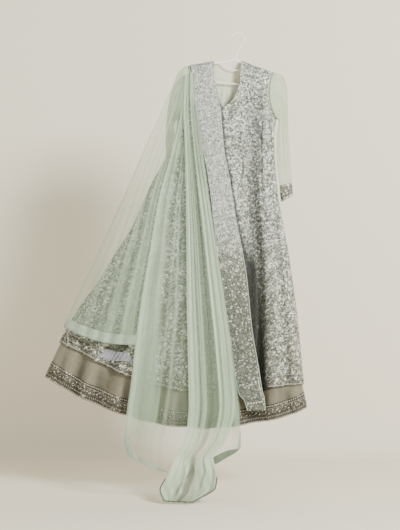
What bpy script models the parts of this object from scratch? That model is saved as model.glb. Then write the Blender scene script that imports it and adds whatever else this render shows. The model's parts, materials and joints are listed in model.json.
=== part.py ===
# Maxi dress on a hanger: an embroidered A-line gown with sheer sleeves, an under-layer that
# shows below its hem, an embroidered band over one shoulder and a sheer net drape.
# Metres, +Z up, the front faces -Y. The origin is the seat inside the hanger's hook.
# Tables are in millimetres: across is +X, height is +Z and so negative below the hook.

import math

import bpy
import numpy as np

MM = 0.001
SEAM = 0.4              # gap left between two pieces where they are sewn together
LIFT = 0.4              # gap under a piece that lies on another
SLEEVE_SEAM = 0.95      # gap at the armholes, whose two edges curve differently
GOWN_WALL = 1.5         # embroidered net on its backing
SHEER_WALL = 1.0        # plain net
TRIM_WALL = 1.2         # beaded borders
BAND_WALL = 2.0         # the stiff shoulder band

# Hanger, in its own frame before it tilts
HANGER_TILT = math.radians(5.5)
APEX = (-12.0, -108.0)          # middle of the rail under the hook
ARM_REACH = 180.0
ARM_DROP = 48.2
BAR_REACH = 174.0
BAR_DROP = 95.0
RAIL_RADIUS = 4.2
BAR_RADIUS = 2.8
HOOK_RADIUS = 25.0              # to the middle of the wire
WIRE_RADIUS = 2.8
HOOK_TIP = math.radians(162)    # the hook's arc, from its tip round to its neck
HOOK_NECK = math.radians(-42)
HOOK_SWING = (-20.0, -20.0)     # how the neck bends back to the middle
HOOK_RISE = 22.0
BRACE_RADIUS = 2.3
BRACE_LEFT = (-66.0, -123.4)
BRACE_RIGHT = (44.0, -135.8)
BRACE_DIP = 20.0

# Shoulders, armholes and neck
LEFT_TIP = -196.0
RIGHT_TIP = 138.0
LEFT_ARMPIT = (-240.0, -344.0)
RIGHT_ARMPIT = (152.0, -344.0)
ARMHOLE_SCOOP = 28.0
ARMHOLE_FULLNESS = 0.85         # depth of the armhole against the depth of the bodice
ARMHOLE_ROWS = (0, 0.012, 0.045, 0.146, 0.31, 0.5, 0.69, 0.854, 0.96, 1)    # tip to armpit
LEFT_NECK = -96.0
RIGHT_NECK = 16.0
BACK_NECK_DIP = 30.0
NECK_POINT = -298.0             # height of the bottom of the V
RIDGE = 50.0                    # height over which the cloth rounds over the shoulder
RIDGE_SPACE = 0.9               # between the rail and the cloth on it
CENTRE = 0.47                   # place of the centre front, from the left side seam

GOWN_BORDER = 48.0
UNDER_BORDER = 62.0
LOWER_ROWS = 7                  # rows from the armpits to the border
UNDER_START = 2                 # the row where the under-layer is sewn in
UNDER_FOLD_EASE = 1.35          # its folds are wider than the gown's, so the two nest
UNDER_SEAT = 3.2                # how far inside the gown it is sewn in
UNDER_INSET = 3.6               # and how much further in each of the next two rows hangs
UNDER_TUCK = 1.2                # the same at the side seams
BAND_COLUMNS = 7
BAND_FIRST_ROW = 4              # where the band starts behind the shoulder, in ARMHOLE_ROWS
BAND_RIDGE_LIFT = 0.8           # gap under the band on the shoulder
BAND_LIFT = 3.2                 # and on the front
BAND_LEVEL = 0.64               # place whose height sets the band's width in each row
FALL_ROWS = 23
WING_ROWS = 15                  # the wing's right edge is the upper part of the fall's left edge
FOLDED_ROWS = 18
DRAPE_TOP_REACH = -100.0        # the drape leaves the shoulder left of here
WAVE = 100.0                    # depth in mm of a drape fold whose share is 1
WAVE_FOOT = -1000.0             # height where such a fold has its whole depth


def table(columns, *rows):
    return {name: np.array([row[i] for row in rows], float) for i, name in enumerate(columns.split())}


# Sides of the gown and of the under-layer from the armpits down
SIDES = table(
    "height left right",
    (-344, -240, 152),
    (-436, -256, 145),
    (-540, -312, 150),
    (-648, -368, 161),
    (-768, -420, 181),
    (-892, -498, 204),
    (-1008, -569, 221),
    (-1104, -640, 234),
    (-1236, -714, 248),
    (-1404, -790, 264),
    (-1500, -830, 282))

# How far the cloth stands forward and back of the hanger
DEPTH = table(
    "height front back",
    (-100, 24, 23),
    (-160, 26, 24),
    (-240, 30, 26),
    (-344, 36, 28),
    (-436, 38, 30),
    (-560, 40, 32),
    (-768, 54, 44),
    (-1008, 78, 64),
    (-1236, 102, 84),
    (-1440, 118, 98),
    (-1600, 128, 106))

# Edges of the V neck
NECK = table(
    "height left right",
    (-110, -96, 16),
    (-146, -96, 9),
    (-203, -91, 6),
    (-240, -82, -6),
    (-270, -75, -22),
    (-290, -66, -38),
    (-298, -52, -52))

# Hems, by place from the left side seam (0) to the right one (1)
GOWN_HEM = table(
    "place height",
    (0.0, -1236),
    (0.106, -1284),
    (0.247, -1352),
    (0.436, -1410),
    (0.60, -1432),
    (0.738, -1436),
    (0.863, -1412),
    (1.0, -1404))
UNDER_HEM = table(
    "place height",
    (0.0, -1374),
    (0.155, -1460),
    (0.32, -1524),
    (0.49, -1562),
    (0.62, -1570),
    (0.77, -1558),
    (0.94, -1522),
    (1.0, -1496))

# Folds that run down the cloth: place, half-width, share of the depth taken, height it starts
FRONT_FOLDS = table(
    "place width share start",
    (0.09, 0.024, 0.30, -800),
    (0.20, 0.030, 0.36, -640),
    (0.32, 0.026, 0.28, -760),
    (0.42, 0.024, 0.24, -860),
    (0.55, 0.030, 0.30, -640),
    (0.66, 0.024, 0.26, -900),
    (0.80, 0.032, 0.55, -230),
    (0.93, 0.022, 0.30, -620))
BACK_FOLDS = table(
    "place width share start",
    (0.10, 0.030, 0.32, -740),
    (0.24, 0.034, 0.38, -600),
    (0.38, 0.030, 0.30, -580),
    (0.50, 0.030, 0.28, -640),
    (0.62, 0.030, 0.34, -580),
    (0.76, 0.034, 0.38, -600),
    (0.90, 0.028, 0.30, -740))

# Sleeves: outer and inner edge of each ring, how far forward its middle is, half its depth
RIGHT_SLEEVE = table(
    "out_x out_z in_x in_z forward half",
    (152, -159, 160, -350, 0, 22),
    (174, -167, 162, -357, 0, 22),
    (189, -190, 161, -366, 0, 22),
    (198, -240, 159, -378, 0, 21),
    (200, -310, 156, -398, 0, 19),
    (202, -380, 154, -430, 0, 17),
    (206, -450, 154, -480, 0, 16),
    (212, -530, 158, -545, 0, 15),
    (216, -600, 166, -610, 0, 14))
LEFT_SLEEVE = table(
    "out_x out_z in_x in_z forward half",
    (-212, -135, -248, -350, 0, 22),
    (-232, -150, -252, -357, 3, 20),
    (-252, -188, -256, -366, 10, 18),
    (-268, -240, -257, -380, 20, 16),
    (-281, -310, -252, -402, 32, 14),
    (-287, -380, -234, -432, 41, 13),
    (-288, -440, -214, -462, 43, 12),
    (-286, -490, -216, -494, 45, 12))
RIGHT_CUFF = table(
    "out_x out_z in_x in_z forward half",
    (216, -600.5, 166, -610.5, 0, 14),
    (218, -624, 168, -642, 0, 15),
    (219, -652, 173, -676, 0, 16))
LEFT_CUFF = table(
    "out_x out_z in_x in_z forward half",
    (-286, -490.5, -216, -494.5, 45, 12),
    (-288, -520, -218, -526, 46, 12),
    (-288, -552, -222, -560, 47, 12))

# Shoulder band, from the ridge of the shoulder down the front
BAND = table(
    "height left right",
    (-112, -189, -100),
    (-204, -182, -93),
    (-296, -164, -74),
    (-476, -140, -58),
    (-588, -120, -36),
    (-748, -100, -10),
    (-948, -76, 28),
    (-1188, -52, 53),
    (-1346, -18, 78),
    (-1440, 4, 92),
    (-1500, 34, 104))
BAND_MARGIN = 5.0       # from the band's edge to the armhole

# Sheer drape. Its wing spreads to the left, its fall hangs below, and a folded stretch lies on
# the fall and ends in the tail. Forward is how far each row stands in front of the gown.
FALL = table(
    "left_x left_z right_x right_z forward",
    (-207, -170, -172, -162, 2.2),
    (-214, -250, -170, -244, 12),
    (-232, -348, -160, -336, 20),
    (-272, -508, -136, -508, 27),
    (-316, -668, -112, -680, 24),
    (-350, -868, -84, -868, 20),
    (-384, -1068, -52, -1068, 20),
    (-406, -1240, -24, -1268, 22),
    (-422, -1388, -4, -1430, 24),
    (-439, -1514, 6, -1550, 24),
    (-447, -1610, 7, -1630, 22),
    (-432, -1672, -10, -1656, 18))
FALL_SAG = 78.0                  # the middle of the lower edge hangs below its corners
WING = table(
    "left_x left_z",
    (-228, -176),
    (-274, -248),
    (-312, -334),
    (-352, -420),
    (-400, -530),
    (-448, -640),
    (-498, -748),
    (-569, -904),
    (-640, -1056),
    (-690, -1172))
FOLDED = table(
    "left_x left_z right_x right_z forward",
    (-212, -168, -174, -160, 4.0),
    (-218, -308, -168, -308, 24),
    (-212, -468, -150, -468, 40),
    (-206, -788, -98, -788, 34),
    (-204, -1068, -56, -1068, 34),
    (-200, -1268, -30, -1268, 36),
    (-196, -1468, -14, -1468, 38),
    (-214, -1610, -46, -1600, 38),
    (-252, -1684, -100, -1672, 44),
    (-270, -1730, -86, -1728, 52),
    (-306, -1796, -92, -1786, 62),
    (-290, -1838, -180, -1842, 70))
WING_FOLDS = table(
    "place width share start",
    (0.12, 0.050, 0.055, -300),
    (0.30, 0.045, 0.075, -260),
    (0.47, 0.045, 0.065, -340),
    (0.64, 0.050, 0.085, -300),
    (0.83, 0.045, 0.065, -400))
FALL_FOLDS = table(
    "place width share start",
    (0.09, 0.040, 0.080, -300),
    (0.26, 0.045, 0.075, -420),
    (0.42, 0.035, 0.070, -360),
    (0.58, 0.040, 0.060, -300),
    (0.88, 0.035, 0.060, -300))
FOLDED_FOLDS = table(
    "place width share start",
    (0.20, 0.050, 0.060, -200),
    (0.36, 0.045, 0.110, -240),
    (0.56, 0.045, 0.090, -260),
    (0.78, 0.050, 0.110, -220))

# Colours (sRGB 0 to 1), roughness
FINISHES = {
    "embroidered_net": ((0.66, 0.68, 0.63), 0.65),
    "beaded_trim": ((0.76, 0.77, 0.72), 0.45),
    "under_satin": ((0.60, 0.57, 0.49), 0.55),
    "sheer_net": ((0.74, 0.80, 0.72), 0.7),
    "band_work": ((0.72, 0.74, 0.70), 0.5),
    "hanger_white": ((0.90, 0.90, 0.88), 0.4),
}


def through(xs, ys, at):
    # A smooth curve through the points that never swings past them
    order = np.argsort(xs)
    xs, ys = xs[order], ys[order]
    step = np.diff(xs)
    slope = np.diff(ys) / step
    tangent = np.concatenate(([slope[0]], np.zeros(len(slope) - 1), [slope[-1]]))
    for i in range(1, len(slope)):
        if slope[i - 1] * slope[i] > 0:
            tangent[i] = 2.0 * slope[i - 1] * slope[i] / (slope[i - 1] + slope[i])
    at = np.clip(np.asarray(at, float), xs[0], xs[-1])
    i = np.clip(np.searchsorted(xs, at) - 1, 0, len(step) - 1)
    t = (at - xs[i]) / step[i]
    return ((1 + 2 * t) * (1 - t) ** 2 * ys[i] + t * (1 - t) ** 2 * step[i] * tangent[i]
            + t * t * (3 - 2 * t) * ys[i + 1] - t * t * (1 - t) * step[i] * tangent[i + 1])


def read(source, column, at, key="height"):
    return through(source[key], source[column], at)


def row_of(source, column, t):
    # A column read by the share of the way down the table, 0 to 1
    count = len(source[column])
    return through(np.linspace(0, 1, count), source[column], t)


def blend(a, b, t):
    return a + (b - a) * t


def hanger_point(x, z):
    cos, sin = math.cos(HANGER_TILT), math.sin(HANGER_TILT)
    return APEX[0] + x * cos + z * sin, APEX[1] - x * sin + z * cos


def shoulder(x):
    # Height of the shoulder ridge: the cloth rests on the hanger's rail
    right = hanger_point(ARM_REACH, -ARM_DROP)
    left = hanger_point(-ARM_REACH, -ARM_DROP)
    right_slope = (right[1] - APEX[1]) / (right[0] - APEX[0])
    left_slope = (left[1] - APEX[1]) / (left[0] - APEX[0])
    x = np.asarray(x, float)
    slope = np.where(x > APEX[0], right_slope, left_slope)
    return APEX[1] + slope * (x - APEX[0]) + RAIL_RADIUS + GOWN_WALL + RIDGE_SPACE


def ridge(drop):
    share = np.clip(np.asarray(drop, float) / RIDGE, 0, 1)
    return np.sqrt(1 - (1 - share) ** 2)


def tip(side):
    x = LEFT_TIP if side < 0 else RIGHT_TIP
    return x, float(shoulder(x))


def armhole(side, s):
    # Across and height of the armhole's edge, s = 0 at the shoulder tip and 1 at the armpit
    armpit = LEFT_ARMPIT if side < 0 else RIGHT_ARMPIT
    tip_x, tip_z = tip(side)
    x = blend(tip_x, armpit[0], s) - side * ARMHOLE_SCOOP * 4 * s * (1 - s)
    return x, blend(tip_z, armpit[1], s)


def armhole_share(side, height):
    armpit = LEFT_ARMPIT if side < 0 else RIGHT_ARMPIT
    tip_z = tip(side)[1]
    return np.clip((tip_z - height) / (tip_z - armpit[1]), 0, 1)


def fullness(height):
    # 0 below the armpits, where front and back meet at the side seam
    s = armhole_share(1, height)
    return ARMHOLE_FULLNESS * np.sqrt(1 - s * s)


def folds(source, place, height, hem=-1440.0):
    total = np.zeros_like(place)
    for at, width, share, start in zip(*(source[c] for c in ("place", "width", "share", "start"))):
        grown = np.clip((start - height) / (start - hem), 0, 1)
        grown = grown * (2 - grown)
        total = total + share * grown * np.exp(-((place - at) / width) ** 2)
    return np.minimum(total, 0.7)


def section(place, height, x, face, source=None, inset=0.0):
    # How far the cloth stands out at one place of a section. face is -1 in front, 1 behind
    depth = read(DEPTH, "front" if face < 0 else "back", height) * ridge(shoulder(x) - height)
    edge = fullness(height)
    across = np.sqrt(np.clip(1 - (2 * place - 1) ** 2, 0, 1))
    out = (depth - inset) * (edge + (1 - edge) * across)
    if source is not None:
        out = out - depth * folds(source, place, height) * across
    return face * out


def places(low, high, count):
    # Columns drawn a little closer together towards the side seams
    s = np.linspace(low, high, count)
    return 0.7 * s + 0.15 * (1 - np.cos(math.pi * s))


def turns():
    # Points round a sleeve, from its outer edge past the front; they meet the armhole's rows
    front = np.arccos(1 - 2 * np.array(ARMHOLE_ROWS))
    return np.concatenate([front, 2 * math.pi - front[-2:0:-1]])


def side_x(side, height):
    return read(SIDES, "left" if side < 0 else "right", height)


def row_levels(i, place):
    # Heights of lower row i: even steps from the armpits to the border, and then the hem
    level = blend(LEFT_ARMPIT[1], NECK_POINT, np.clip(1 - np.abs(place - CENTRE) / CENTRE, 0, 1))
    if i == 0:
        return level
    hem = read(GOWN_HEM, "height", place, "place")
    return hem if i > LOWER_ROWS else blend(level, hem + GOWN_BORDER, i / LOWER_ROWS)


def lower_ends(i):
    # The two side seams at lower row i
    left_z, right_z = (float(row_levels(i, np.array([end]))[0]) for end in (0.0, 1.0))
    return float(side_x(-1, left_z)), float(side_x(1, right_z))


def neck_level(side, s):
    return blend(float(shoulder(LEFT_NECK if side < 0 else RIGHT_NECK)), NECK_POINT, s)


def gown_row(s, place, face):
    # Across and height of an upper row, between the armholes and the neck
    left, right = armhole(-1, s)[0], armhole(1, s)[0]
    if face > 0:
        top_x = blend(LEFT_TIP, RIGHT_TIP, place)
        neck = np.clip((top_x - LEFT_NECK) / (RIGHT_NECK - LEFT_NECK), 0, 1)
        straight = blend(float(shoulder(LEFT_NECK)), float(shoulder(RIGHT_NECK)), neck)
        top = np.where((neck > 0) & (neck < 1), straight, shoulder(top_x))
        top = top - BACK_NECK_DIP * np.sin(math.pi * neck) ** 2
        x = blend(left, right, place)
    elif place[-1] <= CENTRE_PLACE:
        share = place / CENTRE_PLACE
        top_x = blend(LEFT_TIP, LEFT_NECK, share)
        top = shoulder(top_x)
        x = blend(left, float(read(NECK, "left", neck_level(-1, s))), share)
    else:
        share = (place - CENTRE_PLACE) / (1 - CENTRE_PLACE)
        top_x = blend(RIGHT_NECK, RIGHT_TIP, share)
        top = shoulder(top_x)
        x = blend(float(read(NECK, "right", neck_level(1, s))), right, share)
    if s == 0:
        x = top_x
    return x, blend(top, row_levels(0, place), s)


def gown_grid(place, face, source):
    grid = []
    for s in ARMHOLE_ROWS[:-1]:
        x, z = gown_row(s, place, face)
        grid.append(np.stack([x, section(place, z, x, face, source), z], axis=1))
    for i in range(LOWER_ROWS + 2):
        left, right = lower_ends(i)
        x = blend(left, right, place)
        z = row_levels(i, place)
        grid.append(np.stack([x, section(place, z, x, face, source), z], axis=1))
    return np.array(grid)


def under_grid(place, face, source):
    # The under-layer is sewn in below the waist and hangs inside the gown, row beside row
    hem = read(UNDER_HEM, "height", place, "place")
    wider = {name: values.copy() for name, values in source.items()}
    wider["width"] *= UNDER_FOLD_EASE
    grid = []
    for i in range(UNDER_START, LOWER_ROWS + 4):
        if i <= LOWER_ROWS + 1:
            z = row_levels(i, place)
            left, right = lower_ends(i)
        else:
            z = hem + (UNDER_BORDER if i == LOWER_ROWS + 2 else 0.0)
            left, right = float(side_x(-1, z[0])), float(side_x(1, z[-1]))
        clear = min(i - UNDER_START, 2)
        tuck = UNDER_SEAT + clear * UNDER_TUCK
        x = blend(left + tuck, right - tuck, place)
        y = section(place, z, x, face, wider if clear else source, UNDER_SEAT + clear * UNDER_INSET)
        grid.append(np.stack([x, y, z], axis=1))
    return np.array(grid)


def normals(grid, mirror_left=False, mirror_right=False, mirror_top=False, closed=False):
    # Outward normals; a mirrored edge bends round to its other face
    flip = np.array([1.0, -1.0, 1.0])
    if closed:
        across = np.roll(grid, -1, axis=1) - np.roll(grid, 1, axis=1)
    else:
        left = grid[:, 1] * flip if mirror_left is True else 2 * grid[:, 0] - grid[:, 1]
        right = grid[:, -2] * flip if mirror_right is True else 2 * grid[:, -1] - grid[:, -2]
        if not isinstance(mirror_left, bool):
            left = np.where(mirror_left[:, None], grid[:, 1] * flip, left)
        if not isinstance(mirror_right, bool):
            right = np.where(mirror_right[:, None], grid[:, -2] * flip, right)
        wide = np.concatenate([left[:, None], grid, right[:, None]], axis=1)
        across = wide[:, 2:] - wide[:, :-2]
    top = grid[1] * flip if mirror_top else 2 * grid[0] - grid[1]
    tall = np.concatenate([top[None], grid, (2 * grid[-1] - grid[-2])[None]], axis=0)
    down = tall[2:] - tall[:-2]
    n = np.cross(down, across)
    return n / np.linalg.norm(n, axis=2, keepdims=True)


def pull_in(grid, gap, top=False):
    # Draw the side edges in by half a seam, and the shoulder edge too
    out = grid.copy()
    for edge, inner in ((0, 1), (-1, -2)):
        way = grid[:, inner] - grid[:, edge]
        out[:, edge] += way * (gap / 2) / np.linalg.norm(way, axis=1, keepdims=True)
    if top:
        face = np.sign(grid[1, :, 1])
        out[0, :, 1] += face * gap / 2
    return out


def share_edge(left, right, rows):
    # One normal for both pieces along a seam, so that their rims face each other
    both = left[rows, -1] + right[rows, 0]
    both = both / np.linalg.norm(both, axis=1, keepdims=True)
    left[rows, -1] = both
    right[rows, 0] = both


def finish(name):
    colour, roughness = FINISHES[name]
    material = bpy.data.materials.get(name)
    if material is None:
        material = bpy.data.materials.new(name)
        material.use_nodes = True
        shader = material.node_tree.nodes["Principled BSDF"]
        linear = [c / 12.92 if c <= 0.04045 else ((c + 0.055) / 1.055) ** 2.4 for c in colour]
        shader.inputs["Base Color"].default_value = (*linear, 1.0)
        shader.inputs["Roughness"].default_value = roughness
        shader.inputs["Metallic"].default_value = 0.0
    return material


def wall(name, outer, inner, material, closed=False):
    # A closed wall between two grids of points, with a rim all round
    rows, columns = outer.shape[:2]
    points = np.concatenate([outer.reshape(-1, 3), inner.reshape(-1, 3)]) * MM
    skin = rows * columns
    faces = []
    spans = columns if closed else columns - 1
    for r in range(rows - 1):
        for c in range(spans):
            a, b = r * columns + c, r * columns + (c + 1) % columns
            d, e = a + columns, b + columns
            faces.append((a, d, e, b))
            faces.append((skin + a, skin + b, skin + e, skin + d))
    for c in range(spans):
        a, b = c, (c + 1) % columns
        faces.append((a, b, skin + b, skin + a))
        a, b = (rows - 1) * columns + c, (rows - 1) * columns + (c + 1) % columns
        faces.append((b, a, skin + a, skin + b))
    if not closed:
        for r in range(rows - 1):
            a, d = r * columns, (r + 1) * columns
            faces.append((d, a, skin + a, skin + d))
            a, d = a + columns - 1, d + columns - 1
            faces.append((a, d, skin + d, skin + a))
    mesh = bpy.data.meshes.new(name)
    mesh.from_pydata([tuple(p) for p in points], [], faces)
    mesh.validate()
    mesh.shade_smooth()
    mesh.set_sharp_from_angle(angle=math.radians(50))
    mesh.materials.append(finish(material))
    obj = bpy.data.objects.new(name, mesh)
    bpy.context.collection.objects.link(obj)
    return obj


def panel(name, grid, n, thickness, material, border, top=False):
    # A cut piece, with the border that is sewn to its last rows
    wall(name, pull_in(grid, SEAM, top), pull_in(grid - n * thickness, SEAM, top), material)
    low, out = grid[-2:], n[-2:]
    wall(border, pull_in(low + out * (LIFT + TRIM_WALL), SEAM * 2),
         pull_in(low + out * LIFT, SEAM * 2), "beaded_trim")


LEFT_FRONT = places(0, CENTRE, 20)
RIGHT_FRONT = places(CENTRE, 1, 22)
WHOLE_FRONT = np.concatenate([LEFT_FRONT, RIGHT_FRONT[1:]])
BACK = places(0, 1, 28)
CENTRE_PLACE = LEFT_FRONT[-1]


def build_gown():
    armpit = len(ARMHOLE_ROWS) - 1
    joined = np.arange(armpit + LOWER_ROWS + 2) >= armpit
    left = gown_grid(LEFT_FRONT, -1, FRONT_FOLDS)
    right = gown_grid(RIGHT_FRONT, -1, FRONT_FOLDS)
    back = gown_grid(BACK, 1, BACK_FOLDS)[:, ::-1]
    left_out = normals(left, mirror_left=joined, mirror_top=True)
    right_out = normals(right, mirror_right=joined, mirror_top=True)
    back_out = normals(back, mirror_left=joined, mirror_right=joined, mirror_top=True)
    share_edge(left_out, right_out, joined)
    panel("gown_front_left", left, left_out, GOWN_WALL, "embroidered_net", "gown_border_front_left", True)
    panel("gown_front_right", right, right_out, GOWN_WALL, "embroidered_net", "gown_border_front_right", True)
    panel("gown_back", back, back_out, GOWN_WALL, "embroidered_net", "gown_border_back", True)


def build_under_layer():
    front = under_grid(WHOLE_FRONT, -1, FRONT_FOLDS)
    back = under_grid(BACK, 1, BACK_FOLDS)[:, ::-1]
    for name, grid in (("front", front), ("back", back)):
        n = normals(grid, mirror_left=True, mirror_right=True)
        panel("under_" + name, grid, n, GOWN_WALL, "under_satin", "under_border_" + name)


def ring(source, i):
    # One ring of a sleeve, starting on its outer edge and passing the front
    turn = turns()
    share = (1 - np.cos(turn)) / 2
    x = blend(source["out_x"][i], source["in_x"][i], share)
    z = blend(source["out_z"][i], source["in_z"][i], share)
    y = -source["forward"][i] - source["half"][i] * np.sin(turn)
    return np.stack([x, y, z], axis=1)


def armhole_ring(side):
    # The sleeve's first ring lies along the armhole, a seam away
    turn = turns()
    s = (1 - np.cos(turn)) / 2
    x, z = armhole(side, s)
    place = np.full(len(turn), 0.0 if side < 0 else 1.0)
    y = np.where(turn <= math.pi, section(place, z, x, -1), section(place, z, x, 1))
    return np.stack([x + side * SLEEVE_SEAM, y, z], axis=1)


def build_sleeve(name, side, source, cuff):
    rows = [armhole_ring(side)] + [ring(source, i) for i in range(len(source["out_x"]))]
    cuff_rows = [ring(cuff, i) for i in range(len(cuff["out_x"]))]
    for label, thickness, material, stack in (
            ("sleeve_" + name, SHEER_WALL, "sheer_net", rows),
            ("cuff_" + name, GOWN_WALL, "beaded_trim", cuff_rows)):
        grid = np.array(stack)
        if side < 0:
            grid = grid[:, ::-1]
        n = normals(grid, closed=True)
        wall(label, grid, grid - n * thickness, material, closed=True)


def band_row(x, place, z, face):
    return np.stack([x, section(place, z, x, face), z], axis=1)


def build_band():
    # The band starts behind the shoulder, passes over the ridge and lies on the gown's rows
    share = np.linspace(0, 1, BAND_COLUMNS)
    top = blend(BAND["left"][0], BAND["right"][0], share)
    rows = []
    lifts = []
    for s in ARMHOLE_ROWS[BAND_FIRST_ROW:0:-1]:
        left, right = armhole(-1, s)[0], armhole(1, s)[0]
        x = blend(max(top[0], left + BAND_MARGIN), top[-1], share)
        place = (x - left) / (right - left)
        rows.append(band_row(x, place, blend(shoulder(x), row_levels(0, place), s), 1))
        lifts.append(BAND_RIDGE_LIFT)
    for s in ARMHOLE_ROWS[:-1]:
        neck = neck_level(-1, s)
        left, right = armhole(-1, s)[0], float(read(NECK, "left", neck))
        x = blend(max(read(BAND, "left", neck), left + BAND_MARGIN), read(BAND, "right", neck), share)
        along = np.clip((x - left) / (right - left), 0, 1)
        z = blend(shoulder(blend(LEFT_TIP, LEFT_NECK, along)), row_levels(0, along * CENTRE_PLACE), s)
        rows.append(band_row(x, along * CENTRE_PLACE, z, -1))
        lifts.append(blend(BAND_RIDGE_LIFT, BAND_LIFT, min(1, 4 * s * s)))
    for i in range(LOWER_ROWS + 2):
        height = float(row_levels(i, np.array([BAND_LEVEL]))[0])
        x = blend(read(BAND, "left", height), read(BAND, "right", height), share)
        left, right = lower_ends(i)
        place = (x - left) / (right - left)
        rows.append(band_row(x, place, row_levels(i, place), -1))
        lifts.append(BAND_LIFT)
    for height in (BAND["height"][-2] - GOWN_BORDER / 2, BAND["height"][-1]):
        x = blend(read(BAND, "left", height), read(BAND, "right", height), share)
        left, right = lower_ends(LOWER_ROWS + 1)
        rows.append(band_row(x, (x - left) / (right - left), np.full(BAND_COLUMNS, float(height)), -1))
        lifts.append(BAND_LIFT)
    grid = np.array(rows)
    lift = np.array(lifts)[:, None, None]
    n = normals(grid)
    wall("shoulder_band", grid + n * (lift + BAND_WALL), grid + n * lift, "band_work")


def drape_depth(x, z, forward):
    depth = read(DEPTH, "front", z) * ridge(shoulder(np.minimum(x, DRAPE_TOP_REACH)) - z)
    return depth + forward


def drape_grid(rows, count, left, right, forward, source, sag=0.0, recede=0.0, outward=-1):
    grid = []
    for t in np.linspace(0, 1, rows):
        share = np.linspace(0, 1, count)
        x = blend(left[0](t), right[0](t), share)
        z = blend(left[1](t), right[1](t), share) - sag * t ** 6 * np.sin(math.pi * share)
        depth = drape_depth(x, z, forward(t))
        depth = depth * (1 - recede * min(1.0, max(0.0, 2.5 * t - 0.6)) * (1 - share ** 0.35))
        edge = np.sin(math.pi * share) ** 0.3
        wave = WAVE * folds(source, share, z, WAVE_FOOT) * edge
        y = -(depth + outward * wave)
        grid.append(np.stack([x, y, z], axis=1))
    return np.array(grid)


def column(source, name):
    return lambda t: float(row_of(source, name, t))


def build_drape():
    fall = drape_grid(FALL_ROWS, 22, (column(FALL, "left_x"), column(FALL, "left_z")),
                      (column(FALL, "right_x"), column(FALL, "right_z")),
                      column(FALL, "forward"), FALL_FOLDS, sag=FALL_SAG)
    foot = (WING_ROWS - 1) / (FALL_ROWS - 1)

    def shared(name):
        return lambda t: float(row_of(FALL, name, t * foot))

    wing = drape_grid(WING_ROWS, 20, (column(WING, "left_x"), column(WING, "left_z")),
                      (shared("left_x"), shared("left_z")), shared("forward"), WING_FOLDS, recede=0.4)
    fall_out = normals(fall)
    wing_out = normals(wing)
    share_edge(wing_out, fall_out[:WING_ROWS], np.full(WING_ROWS, True))
    wall("drape_fall", pull_in(fall, SEAM), pull_in(fall - fall_out * SHEER_WALL, SEAM), "sheer_net")
    wall("drape_wing", pull_in(wing, SEAM), pull_in(wing - wing_out * SHEER_WALL, SEAM), "sheer_net")

    folded = drape_grid(FOLDED_ROWS, 18, (column(FOLDED, "left_x"), column(FOLDED, "left_z")),
                        (column(FOLDED, "right_x"), column(FOLDED, "right_z")),
                        column(FOLDED, "forward"), FOLDED_FOLDS, outward=1)
    n = normals(folded)
    wall("drape_folded", folded, folded - n * SHEER_WALL, "sheer_net")


def rounded(corners, radius, steps=6):
    # A closed outline with each corner turned into an arc
    points = []
    count = len(corners)
    for i, corner in enumerate(corners):
        corner = np.array(corner)
        before = np.array(corners[i - 1]) - corner
        after = np.array(corners[(i + 1) % count]) - corner
        before = before / np.linalg.norm(before)
        after = after / np.linalg.norm(after)
        half = math.acos(np.clip(np.dot(before, after), -1, 1)) / 2
        reach = radius / math.tan(half)
        centre = corner + (before + after) / np.linalg.norm(before + after) * radius / math.sin(half)
        start = corner + before * reach - centre
        end = corner + after * reach - centre
        for k in range(steps + 1):
            way = blend(start, end, k / steps)
            points.append(centre + way / np.linalg.norm(way) * radius)
    return points


def tube(name, points, radius, closed=False, radii=None):
    curve = bpy.data.curves.new(name, "CURVE")
    curve.dimensions = "3D"
    curve.bevel_depth = radius * MM
    curve.bevel_resolution = 2
    curve.use_fill_caps = not closed
    spline = curve.splines.new("POLY")
    spline.points.add(len(points) - 1)
    for i, (x, z) in enumerate(points):
        spline.points[i].co = (x * MM, 0.0, z * MM, 1.0)
        spline.points[i].radius = 1.0 if radii is None else radii[i]
    spline.use_cyclic_u = closed
    curve.materials.append(finish("hanger_white"))
    obj = bpy.data.objects.new(name, curve)
    bpy.context.collection.objects.link(obj)
    return obj


def build_hanger():
    corners = [(0, 0), (ARM_REACH, -ARM_DROP), (BAR_REACH, -BAR_DROP),
               (-BAR_REACH, -BAR_DROP), (-ARM_REACH, -ARM_DROP)]
    outline = rounded(corners, 16.0, 4)
    radii = [1.0 if z > -ARM_DROP - 2 else BAR_RADIUS / RAIL_RADIUS for x, z in outline]
    tube("hanger_body", [hanger_point(x, z) for x, z in outline], RAIL_RADIUS, True, radii)

    centre_z = WIRE_RADIUS - HOOK_RADIUS
    hook = []
    for angle in np.linspace(HOOK_TIP, HOOK_NECK, 18):
        hook.append((HOOK_RADIUS * math.cos(angle), centre_z + HOOK_RADIUS * math.sin(angle)))
    start = np.array(hook[-1])
    foot = np.array([APEX[0], APEX[1] + RAIL_RADIUS + 0.2])
    for t in np.linspace(0, 1, 9)[1:]:
        bend = np.array(HOOK_SWING) * 1.6 * t * (1 - t) ** 2 + np.array([0.0, HOOK_RISE]) * t * t * (1 - t)
        hook.append(tuple(blend(start, foot, t) + bend))
    tube("hanger_hook", hook, WIRE_RADIUS)

    brace = []
    for t in np.linspace(0, 1, 11):
        x = blend(BRACE_LEFT[0], BRACE_RIGHT[0], t)
        brace.append((x, blend(BRACE_LEFT[1], BRACE_RIGHT[1], t) - BRACE_DIP * math.sin(math.pi * t) ** 0.8))
    tube("hanger_brace", brace, BRACE_RADIUS)


def main():
    for obj in list(bpy.data.objects):
        bpy.data.objects.remove(obj, do_unlink=True)
    build_hanger()
    build_gown()
    build_under_layer()
    build_sleeve("right", 1, RIGHT_SLEEVE, RIGHT_CUFF)
    build_sleeve("left", -1, LEFT_SLEEVE, LEFT_CUFF)
    build_band()
    build_drape()


main()
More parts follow.
